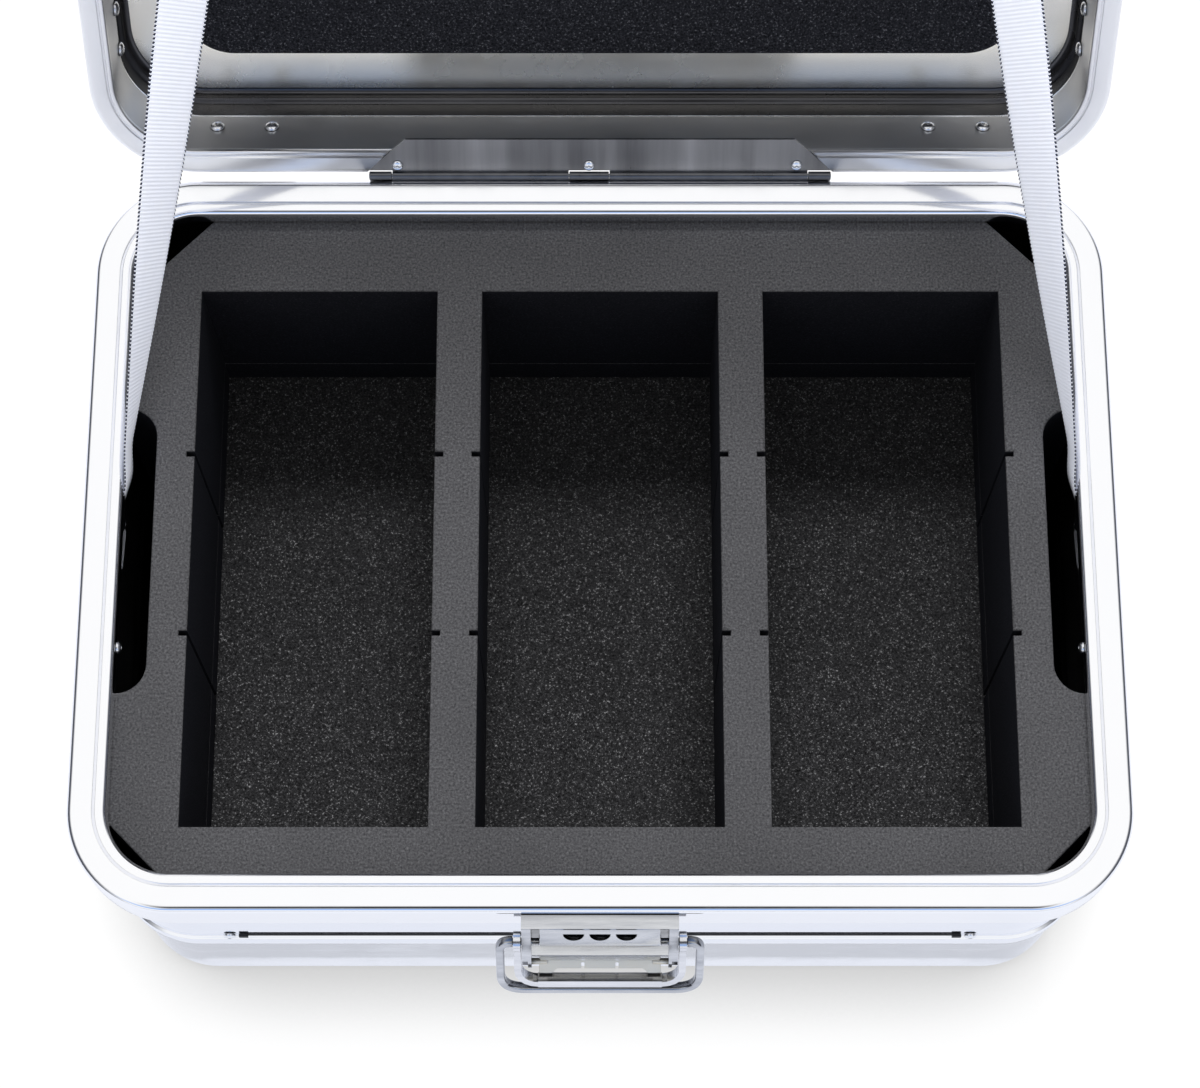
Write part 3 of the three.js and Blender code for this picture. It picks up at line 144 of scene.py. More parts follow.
def linear(red, green, blue):
    """A screen colour, 0 to 255, as the linear colour that a shader reads."""
    screen = np.array([red, green, blue]) / 255
    low = screen / 12.92
    high = ((screen + 0.055) / 1.055) ** 2.4
    return (*np.where(screen <= 0.04045, low, high).tolist(), 1.0)


WHITE = (1.0, 1.0, 1.0, 1.0)
print("a mid grey of 128 is", round(linear(128, 128, 128)[0], 3), "in linear light")

# %% [markdown]
# ## Effects that several finishes share
#
# Drawn sheet has a faint directional grain, handled metal has soft smudges, and foam is full of tiny cells.
# Each effect is one node group with named inputs, built once and used with different values. A group only gives
# out masks and heights, and the shader stays in its material.

# %% Node groups
def open_group(name, inputs, outputs):
    """A shader group with float inputs (name: default) and float outputs."""
    group = bpy.data.node_groups.new(name, "ShaderNodeTree")
    for label, value in inputs.items():
        socket = group.interface.new_socket(name=label, in_out="INPUT", socket_type="NodeSocketFloat")
        socket.default_value = value
    for label in outputs:
        group.interface.new_socket(name=label, in_out="OUTPUT", socket_type="NodeSocketFloat")
    return group, group.nodes.new("NodeGroupInput"), group.nodes.new("NodeGroupOutput")


def stretched_place(group, entry, labels):
    """Object coordinates in which each axis is multiplied by one of the group's inputs."""
    where = add_node(group, "TexCoord")
    stretch = add_node(group, "CombineXYZ", {axis: (entry, label) for axis, label in zip("XYZ", labels)})
    return add_node(group, "VectorMath", {0: (where, "Object"), 1: stretch}, operation="MULTIPLY")


GRAIN_INPUTS = {"Along X": 40.0, "Along Y": 40.0, "Along Z": 40.0, "Low": 0.2, "High": 0.3}


def grain_group():
    """Rolling grain: noise on stretched coordinates, remapped to lie between a low and a high value."""
    group, entry, leave = open_group("rolling grain", GRAIN_INPUTS, ["Value", "Height"])
    place = stretched_place(group, entry, ["Along X", "Along Y", "Along Z"])
    noise = add_node(group, "TexNoise", {"Vector": place, "Scale": 1.0, "Detail": 6.0, "Roughness": 0.62})
    fill(group, leave, {"Value": remap(group, noise, 0.3, 0.7, (entry, "Low"), (entry, "High")), "Height": noise})
    return group


def smudge_group():
    """Handling marks: two noises of different size multiplied, so that only their shared peaks show."""
    group, entry, leave = open_group("handling marks", {"Size": 14.0}, ["Mask"])
    place = stretched_place(group, entry, ["Size", "Size", "Size"])
    broad = add_node(group, "TexNoise", {"Vector": place, "Scale": 1.0, "Detail": 2.0, "Distortion": 0.6})
    fine = add_node(group, "TexNoise", {"Vector": place, "Scale": 5.0, "Detail": 4.0})
    fill(group, leave, {"Mask": remap(group, maths(group, "MULTIPLY", broad, fine), 0.22, 0.42)})
    return group


def cell_group():
    """Foam cells: distance to the nearest cell middle as height, and bright specks where a fine noise peaks."""
    group, entry, leave = open_group(
        "foam cells", {"Cells": 900.0, "Speck Cut": 0.66}, ["Height", "Specks", "Cloud", "Grain"],
    )
    place = stretched_place(group, entry, ["Cells", "Cells", "Cells"])
    cells = add_node(group, "TexVoronoi", {"Vector": place, "Scale": 1.0})
    fine = add_node(group, "TexNoise", {"Vector": place, "Scale": 0.9, "Detail": 3.0, "Roughness": 0.7})
    cloud = add_node(group, "TexNoise", {"Vector": place, "Scale": 0.016, "Detail": 4.0})
    above = maths(group, "SUBTRACT", fine, (entry, "Speck Cut"))
    fill(group, leave, {
        "Height": cells, "Cloud": cloud, "Grain": remap(group, fine, 0.32, 0.68),
        "Specks": maths(group, "MULTIPLY", above, 9.0, use_clamp=True),
    })
    return group


rolling_grain, handling_marks, foam_cells = grain_group(), smudge_group(), cell_group()
print("shared effects:", [group.name for group in (rolling_grain, handling_marks, foam_cells)])

# %% [markdown]
# ## Metal finishes
#
# Every metal here is the same recipe with other values: a base colour and a roughness that the rolling grain moves
# up and down, smudges that are a little duller than the rest, and a very low bump from the grain. Most also have
# painted shade: their colour darkens in corners and gaps, where shade falls, by how open each place is, and so
# draws the outlines of small parts. The rims are the brightest, and the hinge plate has streaks across its length.

# %% Metal recipe
SMUDGE_ROUGHNESS, METAL_RELIEF, DARKEST_OPENNESS = 0.06, 0.0002, 0.25


def rolled(tree, grain, rough):
    """The rolling grain with a finish's own three scales and two rough values."""
    return add_node(tree, "Group", dict(zip(GRAIN_INPUTS, (*grain, *rough))), node_tree=rolling_grain)


def metal(name, dark, light, rough, grain, bump, painted_shade=0.0, reach=12.0, unshaded_openness=0.80):
    """Base colour between dark and light, and roughness between the two rough values, both led by the grain.

    Where a strength is given, shade is painted into the base colour: it is multiplied by how open a place is within
    a reach in millimetres, goes down to 1 minus the strength in a deep corner, and stays whole where the openness is
    above the last value.
    """
    material, tree, shader = open_material(name, Metallic=1.0)
    texture = rolled(tree, grain, rough)
    marks = add_node(tree, "Group", node_tree=handling_marks)
    base = mix(tree, (texture, "Height"), linear(*dark), linear(*light))
    if painted_shade:
        # Painted shade: the base colour is darkened where surfaces close in.
        whole = remap(tree, openness(tree, reach / 1000), DARKEST_OPENNESS, unshaded_openness, 1.0 - painted_shade)
        base = add_node(tree, "VectorMath", {0: base, "Scale": whole}, operation="SCALE")
    duller = maths(tree, "MULTIPLY_ADD", (marks, "Mask"), SMUDGE_ROUGHNESS, (texture, "Value"))
    dress(tree, shader, base, duller, (texture, "Height"), bump, METAL_RELIEF)
    return material


# Each row: dark and light screen colour, roughness from and to, grain along X, Y and Z per metre, bump, and
# where shade is painted into the colour, its strength, its reach in millimetres and the openness above which no
# shade is painted.
METALS = {
    "pressed aluminium": ((240, 243, 249), (250, 251, 254), (0.08, 0.15), (9, 9, 60), 0.05, 0.30, 30),
    "satin panel": ((255, 250, 238), (255, 253, 246), (0.22, 0.28), (14, 9, 9), 0.05),
    # Painted shade and dark reflection: a dark metal for the lid's top corner and bead.
    "pressed corner painted dark": ((70, 70, 73), (98, 98, 101), (0.22, 0.32), (9, 9, 40), 0.05, 0.60, 12),
    # The wall inside has the strongest painted shade, nearly black where its corners close in.
    "wall inside": ((214, 214, 216), (240, 240, 242), (0.32, 0.42), (9, 9, 40), 0.05, 0.95, 34, 0.72),
    "rim aluminium": ((250, 251, 254), (254, 254, 255), (0.07, 0.13), (6, 6, 90), 0.03),
    "lid rim aluminium": ((252, 252, 254), (254, 254, 255), (0.30, 0.40), (6, 6, 90), 0.03),
    "hinge plate steel": ((44, 44, 46), (226, 226, 229), (0.26, 0.36), (42, 2, 2), 0.06),
    "plated steel": ((150, 154, 164), (250, 251, 253), (0.10, 0.20), (26, 240, 240), 0.06, 0.98, 18, 0.95),
    "bail steel": ((128, 132, 142), (238, 240, 244), (0.10, 0.20), (26, 240, 240), 0.06, 0.98, 26, 1.0),
    "lever steel": ((196, 199, 206), (252, 252, 254), (0.14, 0.24), (26, 240, 240), 0.06, 0.55, 8, 0.70),
    "stamped tab steel": ((178, 181, 188), (250, 251, 252), (0.20, 0.32), (30, 400, 400), 0.06, 0.98, 7, 0.95),
    "release plate steel": ((236, 230, 214), (255, 250, 238), (0.50, 0.62), (60, 60, 60), 0.06, 0.90, 6, 0.80),
    "rivet steel": ((234, 237, 242), (250, 251, 253), (0.20, 0.30), (300, 300, 300), 0.05, 0.80, 3),
    "knuckle steel": ((70, 71, 74), (126, 127, 131), (0.24, 0.34), (90, 90, 90), 0.05, 0.90, 4),
}
(
    shell_metal, panel_metal, painted_dark_metal, wall_metal, rim_metal, lid_rim_metal, hinge_metal, latch_metal,
    bail_metal, lever_metal, tab_metal, release_metal, fixing_metal, knuckle_metal,
) = (metal(name, *row) for name, row in METALS.items())
print("metals:", list(METALS))

# %% [markdown]
# ## Foam, rubber, webbing and dial finishes
#
# Foam has no shine, so its look comes from colour and cells. The top of the insert is a closed grey skin, and its
# cut walls are much darker, partly the cut foam's own colour and partly painted shade for the deep bays. The floor of
# the bays and the pad in the lid are coarse black foam with bright specks. The webbing is woven across its length:
# its ribs are in the mesh, and the material follows the strap's own UV map, where U runs across from edge to edge
# and V along it. The white webbing also glows faintly in its own colour, most where it is open: painted light that
# brightens the straps.

# %% Soft finishes
def foam(name, dark, light, speck, cells, speck_cut, relief):
    """Grain between dark and light, soft clouds, specks of a lighter colour on top, and cell-shaped bumps."""
    material, tree, shader = open_material(name, **{"Specular IOR Level": 0.18})
    texture = add_node(tree, "Group", {"Cells": cells, "Speck Cut": speck_cut}, node_tree=foam_cells)
    cloud = (texture, "Cloud")
    grainy = mix(tree, (texture, "Grain"), linear(*dark), linear(*light))
    cloudy = add_node(tree, "VectorMath", {0: grainy, "Scale": remap(tree, cloud, 0.3, 0.7, 0.90, 1.08)},
                      operation="SCALE")
    specked = mix(tree, (texture, "Specks"), cloudy, linear(*speck))
    dress(tree, shader, specked, remap(tree, cloud, 0.0, 1.0, 0.86, 0.98), (texture, "Height"), 0.45, relief)
    return material


# Each row: dark, light and speck screen colour, cells per metre, the noise at which specks begin, and the relief.
FOAMS = {
    "grey foam skin": ((62, 62, 65), (112, 112, 115), (140, 140, 142), 1100, 0.66, 0.0003),
    # The cut walls are darker than the skin, partly the foam's own colour and partly painted shade for the deep bays.
    "cut foam wall with painted shade": ((18, 19, 24), (38, 39, 46), (60, 61, 67), 1300, 0.62, 0.0003),
    "black cell foam": ((18, 18, 19), (80, 80, 82), (190, 190, 192), 1200, 0.60, 0.0006),
    "lid pad foam": ((4, 5, 9), (66, 68, 77), (150, 152, 160), 1100, 0.60, 0.0006),
}
skin_foam, cut_foam_with_painted_shade, black_foam, pad_foam = (foam(name, *row) for name, row in FOAMS.items())


def moulded(name, dark, light, rough, size):
    """Moulded rubber or plastic: two close colours mixed by noise, and a fine even bump."""
    material, tree, shader = open_material(name)
    texture = rolled(tree, (size, size, size), rough)
    colour = mix(tree, (texture, "Height"), linear(*dark), linear(*light))
    dress(tree, shader, colour, (texture, "Value"), (texture, "Height"), 0.25, 0.0001)
    return material


black_rubber = moulded("black rubber", (14, 14, 16), (26, 26, 29), (0.48, 0.68), 700)
dial_plastic = moulded("dial plastic", (38, 42, 50), (66, 72, 84), (0.22, 0.36), 400)

STRAP_WIDTH, STRAP_THICK, RIB = 22.0, 1.4, 1.75


def woven(name):
    """Webbing: threads from stretched noise, and navy selvages near U = 0 and U = 1 that the ribs notch.

    A place is in a selvage where U is more than 0.462 from the middle, and between two notches where the sine of
    V's share of a rib, as an angle, is above -0.25.
    """
    material, tree, shader = open_material(name, **{"Sheen Weight": 0.25, "Sheen Roughness": 0.5})
    place = (add_node(tree, "TexCoord"), "UV")
    split = add_node(tree, "SeparateXYZ", {0: place})
    outwards = maths(tree, "ABSOLUTE", maths(tree, "SUBTRACT", (split, "X"), 0.5))
    ribs = maths(tree, "SINE", maths(tree, "MULTIPLY", (split, "Y"), STRAP_WIDTH / RIB * 2 * np.pi))
    selvage = maths(tree, "MULTIPLY", maths(tree, "GREATER_THAN", outwards, 0.462),
                   maths(tree, "GREATER_THAN", ribs, -0.25))
    stretch = add_node(tree, "Mapping", {"Vector": place, "Scale": (60.0, 4.0, 1.0)})
    threads = add_node(tree, "TexNoise", {"Vector": stretch, "Scale": 1.0, "Detail": 3.0})
    cloth = mix(tree, threads, linear(222, 229, 250), linear(250, 251, 255))
    edged = mix(tree, selvage, cloth, linear(26, 30, 48))
    # Painted light: the webbing glows in its own colour, up to 0.42 where it is open and not at all where it is closed
    # in.
    glow = remap(tree, openness(tree, 0.05), 0.35, 0.75, 0.0, 0.42)
    fill(tree, shader, {"Emission Color": edged, "Emission Strength": glow})
    dress(tree, shader, edged, 0.72, threads, 0.3, 0.0001)
    return material


webbing = woven("webbing")
print("soft finishes:", [*FOAMS, black_rubber.name, dial_plastic.name, webbing.name])

# %% [markdown]
# ## Meshes from numpy arrays
#
# A surface is an array of points, rows by columns. The next helpers turn such an array into quads, close its ends,
# make sure that it is not inside out, and hand it to a body of the engineering model so that it moves with it.

# %% Mesh helpers
MM = 0.001
BODY, LID = "case_body", "lid"


def quads(rows, columns, ring):
    """Faces between neighbouring rows of a grid whose columns wrap round; a ring also joins last row to first."""
    row = np.arange(rows if ring else rows - 1)[:, None]
    column = np.arange(columns)[None, :]
    after, beside = (row + 1) % rows, (column + 1) % columns
    corners = [row * columns + column, row * columns + beside, after * columns + beside, after * columns + column]
    return np.stack(np.broadcast_arrays(*corners), axis=-1).reshape(-1, 4)


def skin(points, ring=False):
    """Faces of a grid of points (rows, columns, 3): quads, and a flat cap on each end unless it is a ring."""
    rows, columns = points.shape[:2]
    faces = quads(rows, columns, ring).tolist()
    if not ring:
        faces.append(list(range(columns))[::-1])
        faces.append(list(range((rows - 1) * columns, rows * columns)))
    return points.reshape(-1, 3), faces


def unit(vectors):
    """Vectors divided by their lengths."""
    return vectors / np.maximum(np.linalg.norm(vectors, axis=-1, keepdims=True), 1e-9)


def gather(parts):
    """Joins several (points, faces) pairs into one."""
    points, faces, shift = [], [], 0
    for some_points, some_faces in parts:
        points.append(some_points)
        faces += [[corner + shift for corner in face] for face in some_faces]
        shift += len(some_points)
    return np.concatenate(points), faces


def turned_out(mesh):
    """Reverses the faces of a closed mesh whose signed volume is negative."""
    work = bmesh.new()
    work.from_mesh(mesh)
    if work.calc_volume(signed=True) < 0:
        bmesh.ops.reverse_faces(work, faces=work.faces)
    work.to_mesh(mesh)
    work.free()


def add_mesh(name, points=(), faces=()):
    """A mesh object from points in metres and faces, linked to the scene."""
    mesh = bpy.data.meshes.new(name)
    mesh.from_pydata(points, [], faces)
    piece = bpy.data.objects.new(name, mesh)
    scene.collection.objects.link(piece)
    return piece


def cover(piece, materials, face_materials=0):
    """Gives a piece its materials, and each face the number of one, and turns the mesh the right way out."""
    for material in materials:
        piece.data.materials.append(material)
    numbers = np.full(len(piece.data.polygons), face_materials, dtype=np.int32)
    piece.data.polygons.foreach_set("material_index", numbers)
    turned_out(piece.data)


def finish_piece(piece, body, replaced, smooth=32.0):
    """Shades a piece smooth up to an angle, rides it on its body and hides the nodes it stands for."""
    piece.data.shade_smooth()
    piece.data.set_sharp_from_angle(angle=np.radians(smooth))
    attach(piece, body)
    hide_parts(*replaced)
    print(f"{piece.name}: {len(piece.data.polygons)} faces on {body}")
    return piece


def new_piece(name, shape, materials, body, replaced, smooth=32.0, face_materials=0):
    """A piece from points in millimetres and faces, at the origin, with its place in its mesh."""
    piece = add_mesh(name, shape[0] * MM, shape[1])
    cover(piece, materials, face_materials)
    return finish_piece(piece, body, replaced, smooth)


def named(*groups):
    """Node names from strings, each a prefix and the labels that go with it."""
    return [f"{prefix}_{label}" for prefix, *labels in map(str.split, groups) for label in labels]


print("faces in a 3 by 4 ring:", len(quads(3, 4, True)))

# %% [markdown]
# ## The outline that both halves share
#
# Seen from above, every loop of the body and of the lid is the same rounded rectangle, only further in or out. So
# a wall, a rim or a whole shell is a list of pairs, how far in and how high, swept once round that outline. Sharp
# corners of such a section are replaced by short quadratic curves, because pressed and extruded metal has none.

# %% Outline and sections
HALF_LENGTH, HALF_DEPTH, RIM_CORNER = 225.0, 167.0, 45.0


def round_rectangle(section, half_length, half_depth, corner, steps):
    """Sweeps (inset, height) pairs round a rectangle: each of its corners is an arc of radius corner - inset."""
    section = np.asarray(section, float)
    quarter = np.repeat(np.arange(4), steps + 1)
    angle = (quarter + np.tile(np.linspace(0, 1, steps + 1), 4)) * np.pi / 2
    side = np.array([[1, 1], [-1, 1], [-1, -1], [1, -1]])[quarter]
    radius = corner - section[:, :1]
    x = side[:, 0] * (half_length - corner) + radius * np.cos(angle)
    y = side[:, 1] * (half_depth - corner) + radius * np.sin(angle)
    return np.stack([x, y, np.broadcast_to(section[:, 1:2], x.shape)], axis=-1)


def round_the_case(section):
    """Sweeps a section round the outline of the rims."""
    return round_rectangle(section, HALF_LENGTH, HALF_DEPTH, RIM_CORNER, 24)


def filleted(corners, radii, steps=5, closed=True):
    """Rounds a polyline: corner c becomes (1-t)^2 a + 2t(1-t) c + t^2 b, with a and b a radius away from c."""
    corner = np.asarray(corners, float)
    reach = np.broadcast_to(np.asarray(radii, float), len(corner)).copy()
    if not closed:
        reach[[0, -1]] = 0
    before, after = np.roll(corner, 1, axis=0), np.roll(corner, -1, axis=0)
    start = corner + unit(before - corner) * reach[:, None]
    end = corner + unit(after - corner) * reach[:, None]
    t = np.linspace(0, 1, steps + 1)[None, :, None]
    curve = (1 - t) ** 2 * start[:, None] + 2 * t * (1 - t) * corner[:, None] + t ** 2 * end[:, None]
    line = curve.reshape(-1, corner.shape[1])
    moved = np.linalg.norm(np.diff(line, axis=0, prepend=line[:1] + 1), axis=1) > 1e-6
    return line[moved]


def bead(inset, bottom, top, bulge=2.2, flank=2.6, steps=7):
    """A stiffening bead in a wall: it swells by t^2 (3 - 2t) over each flank, where t runs from 0 to 1."""
    t = np.linspace(0, 1, steps + 1)
    swell = t ** 2 * (3 - 2 * t) * bulge
    rise = np.column_stack([inset - swell, bottom + t * flank])
    fall = np.column_stack([inset - swell[::-1], top - flank + t * flank])
    return np.concatenate([rise, fall])


case_columns = round_the_case([[0, 0]]).shape[1]
print("outline points:", case_columns)

# %% [markdown]
# ## The pressed body
#
# The body is one deep pressing: a flat floor, a rolled corner, straight walls and a bead that stiffens them. The
# section is followed up the outside and back down the inside, so the sheet has its real thickness.

# %% Body shell
WALL, SHEET = 8.5, 1.6
BODY_HEIGHT = 188.0


def arc(inset, level, radius, start, end, steps=10):
    """Points on a quarter circle given by two angles in degrees, as (inset, height) pairs."""
    angle = np.radians(np.linspace(start, end, steps + 1))
    return np.column_stack([inset + radius * np.cos(angle), level + radius * np.sin(angle)])


def body_face(depth):
    """A face of the sheet, a depth below its outside: rolled corner, bead, and the wall up to the rim."""
    inset = WALL + depth
    return np.concatenate([arc(WALL + 14, 14, 14 - depth, 270, 180), bead(inset, 77.5, 93.0), [[inset, 185.3]]])


body_outside, body_inside = body_face(0), body_face(SHEET)
body_section = np.concatenate([body_outside, body_inside[::-1]])
body_is_inner = np.concatenate([np.zeros(len(body_outside)), np.ones(len(body_inside) - 1)]).astype(int)


def finish_bands(band_finishes, columns, caps):
    """One material number per face of a swept shell: each band repeats its number round, then the two caps."""
    return np.concatenate([np.repeat(band_finishes, columns), caps])


# The inside face of the sheet gets the wall inside metal, with its strong painted shade.
new_piece("body_shell_skin", skin(round_the_case(body_section)), [shell_metal, wall_metal], BODY,
          ["body_shell"], face_materials=finish_bands(body_is_inner, case_columns, [0, 1]))

# %% [markdown]
# ## The body's rim
#
# The rim is an aluminium extrusion bent round the case: a rounded outer edge, a wide flat face with one fine
# groove, and a lip that turns down inside. The groove is a narrow V, a thin dark line from everywhere. Both edges
# are round, and mirror the room from overhead to the horizon.

# %% Body rim
rim_corners = [
    (0.0, -24.0), (0.0, 0.0), (10.9, 0.0), (11.5, -2.0), (12.2, 0.0), (17.0, 0.0), (17.0, -8.6),
    (15.4, -8.6), (15.4, -2.4), (2.0, -2.4), (2.0, -22.2), (8.2, -22.2), (8.2, -24.0),
]
rim_radii = [0.6, 3.2, 0.15, 0.15, 0.15, 2.9, 0.5, 0.5, 0.4, 0.6, 0.6, 0.3, 0.3]
rim_section = filleted(rim_corners, rim_radii) + [0, BODY_HEIGHT]
new_piece("body_rim_ring", skin(round_the_case(rim_section), ring=True), [rim_metal], BODY, ["body_rim"])

# %% [markdown]
# ## The lid, drawn shut and then opened
#
# It is easier to think of the lid lying flat and shut. Points are worked out in that pose from the hinge axis, and
# one function turns them by 120 degrees about the hinge, to where the straps stop it.

# %% Opening turn
HINGE = np.array([0.0, 168.4, 189.0])
LID_MIDDLE = -HALF_DEPTH - 1.4
LID_FACE = -0.6
OPEN = np.radians(-120)


def tilted(points, angle, place):
    """Turns points about X, y' = y cos a - z sin a and z' = y sin a + z cos a, and moves them to a place."""
    turn = np.array([[1, 0, 0], [0, np.cos(angle), -np.sin(angle)], [0, np.sin(angle), np.cos(angle)]])
    return np.asarray(points, float) @ turn.T + np.asarray(place, float)


def opened(points):
    """Turns points of the shut lid about the hinge."""
    return tilted(points, OPEN, HINGE)


def lid_round(section):
    """Sweeps a lid section, heights from the rim's face, round the outline and opens it."""
    return opened(round_the_case(section) + [0, LID_MIDDLE, LID_FACE])


print("the lid's far edge is at", opened([[0, -2 * HALF_DEPTH, 0]]).round(1).tolist()[0])

# %% [markdown]
# ## The pressed lid
#
# The lid is the same kind of pressing as the body, only shallow. Its bead runs close to the top panel. These two
# curves shape the bands along its rear wall, but their darkness is painted: the top corner and most of the bead have
# a dark metal that stands for shade and dark reflections, the wall below has painted shade, and the bright line at
# the bead's lower edge is the plain shell finish. The panel is slightly crowned: over its outer 20 mm it slopes by
# about ten degrees, so that this margin mirrors the room instead of the foam.

# %% Lid shell
def lid_face(depth):
    """A face of the sheet, a depth below its outside: wall, bead, top corner, and the sloping margin."""
    inset = WALL + depth
    return np.concatenate([
        [[inset, 4.9], [inset, 30.6]], bead(inset, 31.6, 46.4), arc(WALL + 4.4, 47.5, 4.4 - depth, 180, 90),
        [[36.0, 56.0 - depth]],
    ])


lid_outside, lid_inside = lid_face(0), lid_face(SHEET)
lid_section = np.concatenate([lid_inside[::-1], lid_outside])
SHELL, CORNER, PANEL, INSIDE = range(4)
lid_finish = np.full(len(lid_section) - 1, SHELL)
lid_finish[0] = PANEL
# Painted shade and dark reflection: the top corner and most of the bead get the dark metal.
lid_finish[1:len(lid_inside) - 4] = CORNER
lid_finish[len(lid_inside) - 2] = INSIDE
new_piece("lid_shell_skin", skin(lid_round(lid_section)), [shell_metal, painted_dark_metal, panel_metal, wall_metal], LID,
          ["lid_shell"], face_materials=finish_bands(lid_finish, case_columns, [PANEL, SHELL]))

# %% [markdown]
# ## The lid's rim, with its recess for the hinge
#
# The lid's rim is narrower and taller than the body's, and its face slopes in towards the case by about ten
# degrees, which is why it mirrors the bright room and not the foam. The hinge leaf is let into its face. So a flat
# solid in the leaf's outline, slightly larger, and a rod along the hinge are cut from the ring with a Boolean
# modifier. That is then applied, and the two cutters are removed.

# %% Lid rim
lid_rim_corners = [
    (0.0, 0.0), (0.0, 12.5), (8.2, 12.5), (8.2, 10.7), (2.0, 10.7), (2.0, 4.6), (10.8, 4.6), (10.8, 1.8),
    (9.1, 1.5), (8.3, 2.2), (7.7, 1.2),
]
lid_rim_radii = [2.5, 0.6, 0.3, 0.3, 0.6, 0.6, 0.5, 0.8, 0.15, 0.15, 0.15]
lid_rim_section = filleted(lid_rim_corners, lid_rim_radii)
lid_rim = new_piece("lid_rim_ring", skin(lid_round(lid_rim_section), ring=True), [lid_rim_metal], LID,
                    ["lid_rim"])


def cutter(name, shape):
    """A closed mesh object used only to cut another."""
    tool = add_mesh(name, shape[0] * MM, shape[1])
    turned_out(tool.data)
    return tool


def rod(radius, ends, columns):
    """Two rings of points, the ends of a round rod along X."""
    angle = np.linspace(0, 2 * np.pi, columns, endpoint=False)
    ring = np.column_stack([np.zeros(columns), radius * np.cos(angle), radius * np.sin(angle)])
    return np.stack([ring + [x, 0, 0] for x in ends])


def cut_away(piece, tools):
    """Subtracts each tool from a piece, keeps the result as its mesh and removes the tools."""
    for tool in tools:
        cut = piece.modifiers.new("cut", "BOOLEAN")
        cut.object, cut.operation, cut.solver = tool, "DIFFERENCE", "EXACT"
    result = bpy.data.meshes.new_from_object(piece.evaluated_get(bpy.context.evaluated_depsgraph_get()))
    piece.modifiers.clear()
    piece.data = result
    for tool in tools:
        bpy.data.objects.remove(tool)


leaf_corners = [(-104.3, 0.3), (-104.3, -2.65), (-87.3, -19.3), (87.3, -19.3), (104.3, -2.65), (104.3, 0.3)]
leaf_loops = np.stack([np.column_stack([leaf_corners, np.full(6, level)]) for level in (-2.6, 2.2)])
cut_shapes = {"leaf_cutter": leaf_loops, "rod_cutter": rod(2.5, (-104.6, 104.6), 24)}
cut_away(lid_rim, [cutter(name, skin(opened(loops))) for name, loops in cut_shapes.items()])
print("lid rim after cutting:", len(lid_rim.data.polygons), "faces")

# %% [markdown]
# ## The foam insert
#
# The insert is cut from two sheets of foam laid on each other. Its outline has cut corners and a long relief at
# each end for the straps, and each bay has two pairs of slots for loose dividers. The outline and the three bays
# are plain point lists. They rise as walls, tuck in a little at the top edge, and Blender's own triangulation
# fills the flat faces round the holes. The top skin and the cut walls get different foams.

# %% Foam outlines
FOAM_X, FOAM_Y = 212.5, 154.5
FRONT_CUT, REAR_CUT = 31.5, 42.0
BAY_WIDTH, BAY_STEP, BAY_FRONT, BAY_REAR = 105.7, 125.7, -128.5, 116.5


def foam_outline():
    """The insert seen from above, anticlockwise, with both strap reliefs."""
    inner, radius = FOAM_X - 17, 13
    low, high = -70.0, 60.0
    bottom = arc(inner + radius, low + radius, radius, 270, 180, 8)
    top = arc(inner + radius, high - radius, radius, 180, 90, 8)
    right = np.concatenate([
        [[FOAM_X - FRONT_CUT, -FOAM_Y], [FOAM_X, -FOAM_Y + FRONT_CUT], [FOAM_X, low]], bottom, top,
        [[FOAM_X, high], [FOAM_X, FOAM_Y - REAR_CUT], [FOAM_X - REAR_CUT, FOAM_Y]],
    ])
    return np.concatenate([right, (right * [-1, 1])[::-1]])


def bay_outline(middle):
    """One bay seen from above, anticlockwise, with its four slots."""
    half, deep, gap = BAY_WIDTH / 2, 3.7, 1.1
    slots = np.concatenate([
        [[half, y - gap], [half + deep, y - gap], [half + deep, y + gap], [half, y + gap]] for y in (-43.0, 39.1)
    ])
    right = np.concatenate([[[half, BAY_FRONT]], slots, [[half, BAY_REAR]]])
    return np.concatenate([right, (right * [-1, 1])[::-1]]) + [middle, 0]


def grown(outline, distance):
    """Moves each side of an anticlockwise outline outwards: corners move along the mitre of the two normals."""
    along = unit(np.roll(outline, -1, axis=0) - outline)
    second = np.column_stack([along[:, 1], -along[:, 0]])
    first = np.roll(second, 1, axis=0)
    stretch = 1 + np.sum(first * second, axis=1, keepdims=True)
    return outline + (first + second) * distance / np.maximum(stretch, 0.4)


print("outline corners:", len(foam_outline()), "bay corners:", len(bay_outline(0)))

# %% Foam layers
SKIN, CUT = 0, 1


